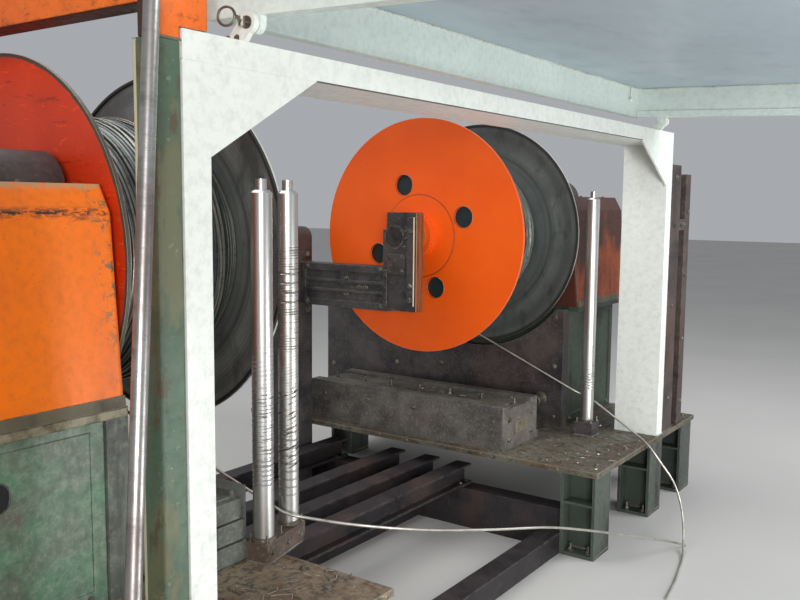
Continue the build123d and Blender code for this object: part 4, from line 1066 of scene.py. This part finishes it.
def pit_details():
    bolts = Shape()
    for x in (0.255, 0.060, -0.160, -0.560):
        for name, side in SIDE.items():
            y = side * ({"left": 0.960, "right": 0.740}[name] + 0.102)
            for dx in (-0.03, 0.03):
                for dy in (-0.028, 0.028):
                    bolts.bolt((x + dx, y + dy, 0.210), (0, 0, 1), 0.009)
    bolts.piece("pit_bolts", "bolt_steel")
    clips = Shape()
    for x in (0.255, 0.060, -0.160, -0.560):
        for name, side in SIDE.items():
            y = side * ({"left": 0.960, "right": 0.740}[name] + 0.102)
            for way in (-1, 1):
                clips.box((x + way * 0.045 - 0.012, y - 0.045, 0.200), (x + way * 0.045 + 0.012, y + 0.045, 0.2115))
    clips.piece("pit_clips", "dark_casting", bevel=0.0012)


def bed_details(name, side):
    z = TABLE_Z[name] + 0.220
    inner = {"left": 1.020, "right": 0.800}[name]
    front = {"left": 0.600, "right": 0.533}[name]
    bolts = Shape()
    reach = front + 0.70
    for k in range(7):
        x = -0.66 + (reach - 0.08) * k / 6
        bolts.nut_on_stud((x, side * (inner + 0.185), z - 0.016), (0, 0, 1), 0.012, 0.030)
        bolts.bolt((x, side * (inner + 0.383), TABLE_Z[name] + 0.036), (0, 0, 1), 0.009)
    for x in (-0.60, -0.30, 0.0):
        bolts.bolt((x, side * inner, z - 0.07), (0, -side, 0), 0.010)
    if name == "right":
        for dy in (0.06, 0.30):
            for dz in (0.05, 0.15):
                bolts.bolt((front, side * (inner + dy), TABLE_Z[name] + dz), (1, 0, 0), 0.011)
    bolts.piece(f"{name}_bed_bolts", "bolt_steel")
    strip = Shape()
    low, high = sorted((side * (inner + 0.09), side * (inner + 0.150)))
    strip.box((-0.68, low, z - 0.016), (front - 0.05, high, z - 0.009))
    if name == "right":
        low, high = sorted((side * (inner + 0.12), side * (inner + 0.25)))
        strip.box((front, low, TABLE_Z[name] + 0.07), (front + 0.006, high, TABLE_Z[name] + 0.13))
    strip.piece(f"{name}_bed_plates", "table_steel", bevel=0.0015)
    if name == "left":
        packers = Shape()
        for low_z, high_z, out in ((0.0005, 0.062, 0.034), (0.066, 0.128, 0.028), (0.132, 0.196, 0.022)):
            packers.box((front, -1.400, TABLE_Z[name] + low_z), (front + out, -1.090 + out, TABLE_Z[name] + high_z))
        packers.piece("left_bed_packers", "bed_grey", bevel=0.0025)


for name, side in SIDE.items():
    table_details(name, side)
    leg_details(name, side)
    bed_details(name, side)
pit_details()


# Guard portal, columns and door

def portal_details():
    beads = Shape()
    for side in (-1, 1):
        beads.weld((1.0265, side * 1.195, 1.9385), (1.0265, side * 1.555, 1.9385), 0.0034, 4)
        beads.weld((1.0265, side * 1.5590, 1.731), (1.0265, side * 1.5590, 1.939), 0.0034, 5)
        z = TABLE_Z["left" if side < 0 else "right"] + 0.001
        inner, outer = side * 1.5595, side * 1.6405
        beads.weld((0.808, inner, z), (1.038, inner, z), 0.004, 1)
        beads.weld((1.0385, inner, z), (1.0385, outer, z), 0.004, 2)
        beads.weld((0.951, outer, z), (1.038, outer, z), 0.004, 3)
    beads.piece("portal_welds", "white_weld")
    bolts = Shape()
    for side in (-1, 1):
        for x in (0.985, 1.015):
            bolts.bolt((x, side * 1.453, 2.013), (0, side, 0), 0.006)
        bolts.lathe([(0.0, 0.0), (0.015, 0.0), (0.015, 0.003), (0.0, 0.003)], 20, aimed((1.048, side * 1.453, 2.045), (0, side, 0)))
    bolts.piece("hinge_bolts", "bolt_steel")
    ring = Shape()
    points = [(1.050 + 0.0197 * math.cos(t), -1.520 + 0.0072 * math.cos(t), 2.047 + 0.021 * math.sin(t)) for t in turns(28)]
    ring.tube([*points, points[0]], 0.0032, 8, False)
    ring.tube([(1.048, -1.455, 2.045), (1.050, -1.480, 2.045), (1.066, -1.498, 2.046), (1.0695, -1.513, 2.047)], 0.0045, 10)
    ring.tube([(1.048, -1.470, 2.056), (1.048, -1.470, 2.034)], 0.008, 10)
    ring.piece("hinge_ring", "bolt_steel")


def column_details():
    beads, bolts = Shape(), Shape()
    for (x0, x1, y0, y1, z) in ((0.962, 1.038, -1.714, -1.645, 0.522), (0.888, 1.038, 1.647, 1.790, 0.421), (-1.040, -0.964, -1.714, -1.645, 1.081)):
        corners = [(x0, y0, z), (x1, y0, z), (x1, y1, z), (x0, y1, z)]
        for k in range(4):
            beads.weld(corners[k], corners[(k + 1) % 4], 0.004, k)
    beads.weld((1.0385, -1.713, 1.978), (1.0385, -1.646, 1.978), 0.003, 8)
    beads.piece("column_welds", "weld_bead")
    bolts.bolt((1.038, -1.680, 0.62), (1, 0, 0), 0.008)
    for z in (0.60, 1.10, 1.53, 1.78):
        bolts.bolt((1.038, 1.718, z), (1, 0, 0), 0.009)
    for z in (0.55, 0.9, 1.25, 1.6):
        bolts.bolt((1.038, 1.918, z), (1, 0, 0), 0.008)
    for y in (1.81, 1.86):
        bolts.bolt((1.038, y, 1.530), (1, 0, 0), 0.010)
    for x in (0.6, 0.1, -0.4, -0.9):
        bolts.bolt((x, -1.641, 2.09), (0, 1, 0), 0.009)
    bolts.piece("column_bolts", "bolt_steel")


def tilted(u, y, w):
    """Point of the raised door from its own three measures."""
    tip = math.radians(1.9)
    return (1.048 + u * math.cos(tip) + w * math.sin(tip), y, 2.045 - u * math.sin(tip) + w * math.cos(tip))


def door_details():
    ribs, beads, latch = Shape(), Shape(), Shape()
    tip = Matrix.Translation((1.048, 0, 2.045)) @ Matrix.Rotation(math.radians(1.9), 4, "Y")
    for side in (-1, 1):
        low, high = sorted((side * 1.3905, side * 1.3915))
        ribs.box((-0.121, low - 0.004, 0.020), (1.479, high + 0.004, 0.050), tip)
    ribs.box((1.470, -1.386, 0.020), (1.481, 1.386, 0.050), tip)
    ribs.piece("door_returns", "door_rim", "guard_door", bevel=0.0012)
    body = "guard_door"
    for u in (-0.121, 1.479):
        beads.tube([tilted(u, y / 10, 0.157) for y in range(-13, 14)], 0.004, 6, True, 0.25, 3)
    for side in (-1, 1):
        beads.tube([tilted(u / 10, side * 1.389, 0.157) for u in range(-1, 15)], 0.004, 6, True, 0.25, 4)
    beads.piece("door_welds", "white_weld", body)
    latch.box((0.9275, 1.262, 2.160), (0.934, 1.290, 2.196))
    latch.tube([(0.940, 1.276, 2.200), (0.940, 1.276, 2.150)], 0.0042, 10)
    latch.lathe([(0.0, -0.010), (0.007, -0.008), (0.010, 0.0), (0.007, 0.008), (0.0, 0.010)], 16, aimed((0.940, 1.276, 2.145), (0, 0, 1)))
    latch.piece("door_latch_pin", "portal_white", body, bevel=0.001)
    bolts = Shape()
    for side in (-1, 1):
        for u in (0.1, 0.5, 0.9, 1.3):
            bolts.bolt(tilted(u, side * 1.431, 0.13), (0, side, 0), 0.006)
    for y in (-1.1, -0.55, 0.0, 0.55, 1.1):
        bolts.bolt(tilted(1.520, y, 0.09), (math.cos(math.radians(1.9)), 0, -math.sin(math.radians(1.9))), 0.006)
    bolts.piece("door_bolts", "bolt_steel", body)


portal_details()
column_details()
door_details()


# Drive stations

def drive_details(name, side):
    look = "cover_orange" if name == "left" else "cover_brown"
    z = TABLE_Z[name]
    seams, bolts, panels, dark = Shape(), Shape(), Shape(), Shape()
    out = (0, side, 0)
    outer = side * 2.150
    low, high = sorted((outer, outer + side * 0.006))
    for k, (x0, x1) in enumerate(((-1.05, -0.56), (-0.52, -0.03), (0.01, 0.50))):
        panels.box((x0, low, z + 0.06), (x1, high, 1.02))
        for x in (x0 + 0.03, x1 - 0.03):
            for h in (z + 0.09, (z + 1.02) / 2, 0.99):
                bolts.bolt((x, outer + side * 0.006, h), out, 0.008)
        for j in range(5):
            slot_z = 0.80 + j * 0.030
            a, b = sorted((outer + side * 0.006, outer + side * 0.0115))
            dark.box((x0 + 0.12, a, slot_z), (x1 - 0.12, b, slot_z + 0.012))
    low_x = -1.100
    panels.box((low_x - 0.006, min(side * 1.56, side * 2.09), z + 0.06), (low_x, max(side * 1.56, side * 2.09), 1.02))
    for y in (1.59, 2.06):
        for h in (z + 0.09, 0.99):
            bolts.bolt((low_x - 0.006, side * y, h), (-1, 0, 0), 0.008)
    panels.piece(f"{name}_drive_panels", "machine_green", bevel=0.0015)
    dark.piece(f"{name}_drive_louvres", "dark_frame", bevel=0.002)
    for y in (1.56, 1.83, 2.09):
        bolts.bolt((0.540, side * y, z + 0.025), (1, 0, 0), 0.009)
    for x in (-1.02, -0.66, 0.46):
        for y in (1.53, 2.12):
            bolts.bolt((x, side * y, 1.080), (0, 0, 1), 0.010)
    for place in circle_of((0, side * 1.500, AXIS_Z), (0, -side, 0), 0.150, 8, 0.39):
        bolts.bolt(place, (0, -side, 0), 0.011)
    for place in circle_of((0, side * 1.920, AXIS_Z), out, 0.150, 10, 0.2):
        bolts.bolt(place, out, 0.010)
    for x in (-0.30, -0.12, 0.06, 0.24):
        bolts.bolt((x, side * 1.940, 1.116), (0, 0, 1), 0.013)
    for y in (1.56, 1.70, 1.84):
        bolts.bolt((-0.370, side * y, 1.116), (0, 0, 1), 0.013)
    bolts.piece(f"{name}_drive_bolts", "bolt_steel")
    caps = Shape()
    caps.lathe([(0.0, 0.0), (0.175, 0.0), (0.175, 0.008), (0.168, 0.012), (0.120, 0.012), (0.112, 0.020), (0.0, 0.020)], 48, aimed((0, side * 1.920, AXIS_Z), out))
    caps.lathe([(0.070, 0.0), (0.175, 0.0), (0.175, 0.003), (0.070, 0.003)], 48, aimed((0, side * 1.500, AXIS_Z), (0, -side, 0)), True)
    caps.lathe([(0.0, 0.0), (0.032, 0.0), (0.032, 0.010), (0.020, 0.016), (0.020, 0.032), (0.026, 0.036), (0.026, 0.046), (0.0, 0.048)], 24, aimed((-0.05, side * 1.70, 1.768), (0, 0, 1)))
    caps.box((0.02, min(side * 1.60, side * 1.82), 1.768), (0.20, max(side * 1.60, side * 1.82), 1.776))
    caps.piece(f"{name}_gearbox_caps", "dark_casting", bevel=0.0015)
    seams.weld((0.3990, side * 1.4985, 1.083), (0.3990, side * 1.4985, 1.66), 0.004, 3)
    low, high = sorted((side * 2.150, side * 2.1565))
    seams.box((0.43, low, 1.12), (0.50, high, 1.62))
    seams.piece(f"{name}_cover_trim", look, bevel=0.0015)
    foot = Shape()
    low, high = sorted((side * 1.482, side * 2.146))
    profile = ((0.600, 1.0805), (0.6145, 1.0805), (0.6145, 1.0850), (0.6105, 1.1130), (0.600, 1.1130))
    foot.rings([[(x, low, h) for x, h in profile], [(x, high, h) for x, h in profile]])
    foot.piece(f"{name}_cover_foot", "foot_grey", bevel=0.001)
    heads = Shape()
    for y in (1.705, 2.02):
        heads.bolt((0.505, side * y, 1.675), (0, 0, 1), 0.007)
    for h in (1.16, 1.30, 1.44, 1.58):
        heads.bolt((0.465, side * 2.1565, h), out, 0.007)
    heads.piece(f"{name}_cover_bolts", "bolt_steel")


def hand_hole():
    """Oval hole with a worn lip in the front of the left drive base, its inside a black disc of painted shade."""
    lip = Shape()
    centre = Vector((0.5345, -1.806, 0.897))
    ring = [(0.5345, centre.y + 0.029 * math.cos(t), centre.z + 0.038 * math.sin(t)) for t in turns(40)]
    lip.tube([*ring, ring[0]], 0.0022, 8, False, 0.25, 2)
    lip.piece("left_base_hole_lip", "leg_green")
    # painted shade: a black disc just behind the lip stands in for the dark inside of the hole
    inside = Shape()
    disc = [(0.5350, centre.y + 0.0285 * math.cos(t), centre.z + 0.0375 * math.sin(t)) for t in turns(40)]
    deep = [(0.5343, centre.y + 0.0285 * math.cos(t), centre.z + 0.0375 * math.sin(t)) for t in turns(40)]
    inside.rings([deep, disc])
    inside.piece("left_base_hole", "hole_shade_black")


def wall_fittings(name, side):
    """Pipe stub and bolts on the end wall beside the reel."""
    y = side * 1.428
    stub = Shape()
    stub.lathe([(0.0, 0.0), (0.038, 0.0), (0.038, 0.012), (0.029, 0.014), (0.029, 0.076), (0.023, 0.078), (0.023, 0.060), (0.0, 0.060)], 28, aimed((0.430, y, 0.566), (0, -side, 0)))
    stub.piece(f"{name}_wall_stub", "bolt_steel")
    bolts = Shape()
    for x, z in ((0.50, 1.02), (0.50, 0.75), (0.50, 0.47 if name == "right" else 0.57), (-0.72, 1.02), (-1.05, 1.02), (-1.05, 0.60), (-0.55, 0.66), (-0.23, 0.69)):
        bolts.bolt((x, y, z), (0, -side, 0), 0.011)
    bolts.piece(f"{name}_wall_bolts", "bolt_steel")


for name, side in SIDE.items():
    drive_details(name, side)
    wall_fittings(name, side)
hand_hole()


# Swarf, slivers and offcuts that lie about

def litter(name, z, x_range, y_range, count, seed, keep_off=()):
    luck = random.Random(seed)
    shape = Shape()
    laid = 0
    while laid < count:
        x, y = luck.uniform(*x_range), luck.uniform(*y_range)
        if any(a - 0.07 < x < b + 0.07 and c - 0.07 < y < d + 0.07 for a, b, c, d in keep_off):
            continue
        laid += 1
        turn = luck.random() * 6.28
        kind = luck.random()
        if kind < 0.45:
            points, heading, curl = [], turn, luck.uniform(-0.5, 0.5)
            px, py = x, y
            for k in range(9):
                points.append((px, py, z + 0.0015 + 0.004 * abs(math.sin(k * 0.7 + seed)) * luck.random()))
                px += 0.007 * math.cos(heading)
                py += 0.007 * math.sin(heading)
                heading += curl + luck.uniform(-0.25, 0.25)
            shape.tube(points, luck.uniform(0.0009, 0.0018), 4)
        elif kind < 0.8:
            size = luck.uniform(0.004, 0.012)
            corners = [(size * luck.uniform(0.6, 1.0) * math.cos(t), size * luck.uniform(0.4, 1.0) * math.sin(t)) for t in turns(5)]
            low = [(x + a, y + b, z + 0.0002) for a, b in corners]
            high = [(x + a * 0.9, y + b * 0.9, z + 0.0002 + luck.uniform(0.0012, 0.004)) for a, b in corners]
            shape.rings([low, high])
        else:
            length = luck.uniform(0.02, 0.06)
            dx, dy = math.cos(turn) * length / 2, math.sin(turn) * length / 2
            shape.tube([(x - dx, y - dy, z + 0.002), (x, y, z + 0.003), (x + dx, y + dy, z + 0.002)], 0.0018, 4)
    shape.piece(name, "strand_steel" if seed % 2 else "weld_bead")


right_keep = ((0.670, 0.770, 1.330, 1.430), (0.805, 1.038, 1.56, 1.79), (-0.7, 0.54, 0.79, 1.20), (-1.2, 0.62, 1.42, 2.2))
left_keep = ((0.600, 0.720, -1.075, -0.830), (0.805, 1.038, -1.72, -1.56), (-0.7, 0.60, -1.42, -1.01), (-1.2, 0.62, -2.2, -1.42))
litter("right_table_slivers", 0.420, (0.30, 1.03), (0.76, 2.10), 70, 5, right_keep)
litter("right_table_crumbs", 0.420, (0.30, 1.03), (0.76, 2.10), 90, 8, right_keep)
litter("left_table_slivers", 0.521, (0.30, 0.98), (-2.10, -0.98), 40, 7, left_keep)
litter("left_table_crumbs", 0.521, (0.30, 1.00), (-2.10, -0.98), 60, 10, left_keep)
litter("right_bed_slivers", 0.624, (-0.60, 0.50), (0.885, 1.085), 26, 9)
litter("right_stand_crumbs", 0.490, (0.68, 0.70), (1.34, 1.42), 8, 12)


def wear_round_rollers():
    """Scored rings where the trim ran, standing just proud of the rollers."""
    luck = random.Random(4)
    for name, bands in (
        ("left_roller_1", ((0.82, 1.05, 12, 0.05),)),
        ("left_roller_2", ((0.79, 1.04, 10, 0.30), (1.22, 1.50, 10, 0.02))),
        ("right_roller", ((0.72, 0.82, 5, 0.05),)),
    ):
        x, y = ROLLERS[name]
        shape = Shape()
        for low, high, count, lean in bands:
            for k in range(count):
                z = low + (high - low) * (k + luck.uniform(0.1, 0.9)) / count
                phase, tip = luck.random() * 6.28, 0.033 * lean * luck.uniform(0.5, 1.2)
                points = [(x + 0.0331 * math.cos(t), y + 0.0331 * math.sin(t), z + tip * math.sin(t + phase * 0.2)) for t in turns(40)]
                start, sweep = luck.randrange(40), luck.choice((40, 40, 26, 30, 18))
                run = [points[(start + i) % 40] for i in range(sweep + (1 if sweep == 40 else 0))]
                shape.tube(run, luck.uniform(0.0005, 0.0011), 4)
        shape.piece(f"{name}_scores", "weld_bead", name)


wear_round_rollers()

for name, width in {
    "left_drive_cover": 0.006, "right_drive_cover": 0.006, "left_column_cap": 0.005, "top_beam": 0.005,
    "left_table_top": 0.003, "right_table_top": 0.003, "portal_header": 0.0008, "portal_gussets": 0.0008,
    "portal_left_post": 0.0008, "portal_right_post": 0.0008, "left_column": 0.008, "left_rear_column": 0.008,
    "right_column": 0.006, "left_bearing_head": 0.003, "right_bearing_head": 0.003, "left_arm": 0.003,
    "right_arm": 0.003, "left_arm_column": 0.006, "right_arm_column": 0.006, "left_bed": 0.004, "right_bed": 0.004,
    "left_drive_base": 0.004, "right_drive_base": 0.004, "left_gearbox": 0.006, "right_gearbox": 0.006,
    "left_roller_stand": 0.003, "right_roller_stand": 0.003, "door_front_rim": 0.003, "door_rear_rim": 0.003,
    "left_floor_beam": 0.006, "right_floor_beam": 0.006, "floor_ties": 0.004,
}.items():
    soften(name, width)


# Room: floor, light and camera

def floor():
    mesh = bpy.data.meshes.new("studio_floor")
    far = 40.0
    mesh.from_pydata([(-far, -far, 0), (far, -far, 0), (far, far, 0), (-far, far, 0)], [], [(0, 1, 2, 3)])
    plane = bpy.data.objects.new("studio_floor", mesh)
    bpy.context.scene.collection.objects.link(plane)
    p = Paint("studio_floor")
    cloud = p.noise(0.6, 2.0)
    colour = p.mix(p.steps(cloud, 0.3, 0.7), (0.50, 0.49, 0.47, 1), (0.54, 0.53, 0.51, 1))
    mesh.materials.append(p.finish(colour, 0.85))


def area_light(name, place, target, size, power, colour=(1, 1, 1)):
    data = bpy.data.lights.new(name, "AREA")
    data.shape = "RECTANGLE"
    data.size, data.size_y = size
    data.energy = power
    data.color = colour
    lamp = bpy.data.objects.new(name, data)
    bpy.context.scene.collection.objects.link(lamp)
    lamp.location = place
    lamp.rotation_mode = "QUATERNION"
    lamp.rotation_quaternion = (Vector(target) - Vector(place)).to_track_quat("-Z", "Y")


def lights():
    world = bpy.data.worlds.new("studio")
    bpy.context.scene.world = world
    world.use_nodes = True
    back = world.node_tree.nodes["Background"]
    back.inputs["Color"].default_value = (0.92, 0.95, 1.0, 1)
    back.inputs["Strength"].default_value = 0.42
    area_light("key", (6.4, -7.6, 2.1), (0.2, 0.2, 1.3), (2.4, 1.8), 440, (1.0, 0.98, 0.95))
    area_light("fill", (5.5, 2.8, 4.5), (0.3, 0.8, 0.9), (4.0, 3.0), 250, (0.95, 0.98, 1.0))
    area_light("low", (3.6, 0.0, 0.30), (1.9, 0.8, 2.1), (1.6, 1.6), 70, (0.97, 0.99, 1.0))
    area_light("top", (-1.5, -0.5, 6.0), (0.0, 0.0, 0.8), (5.0, 5.0), 200)


def camera():
    """The photograph's camera, from its three angles."""
    yaw, pitch, roll = (math.radians(v) for v in (35.040, 6.2370, 0.51693))
    back_to = Vector((-math.sin(yaw) * math.cos(pitch), math.cos(yaw) * math.cos(pitch), -math.sin(pitch)))
    level_right = Vector((math.cos(yaw), math.sin(yaw), 0))
    level_down = back_to.cross(level_right)
    right = level_right * math.cos(roll) - level_down * math.sin(roll)
    down = level_right * math.sin(roll) + level_down * math.cos(roll)
    data = bpy.data.cameras.new("camera")
    data.sensor_fit = "HORIZONTAL"
    data.sensor_width = 36.0
    data.lens = 887.355 / 800 * 36.0
    data.clip_start, data.clip_end = 0.05, 200.0
    eye = bpy.data.objects.new("camera", data)
    bpy.context.scene.collection.objects.link(eye)
    turn = Matrix((right, -down, -back_to)).transposed()
    eye.matrix_world = Matrix.Translation((2.556, -2.976, 1.632)) @ turn.to_4x4()
    bpy.context.scene.camera = eye


floor()
lights()
camera()
bpy.context.scene.view_settings.view_transform = "Standard"
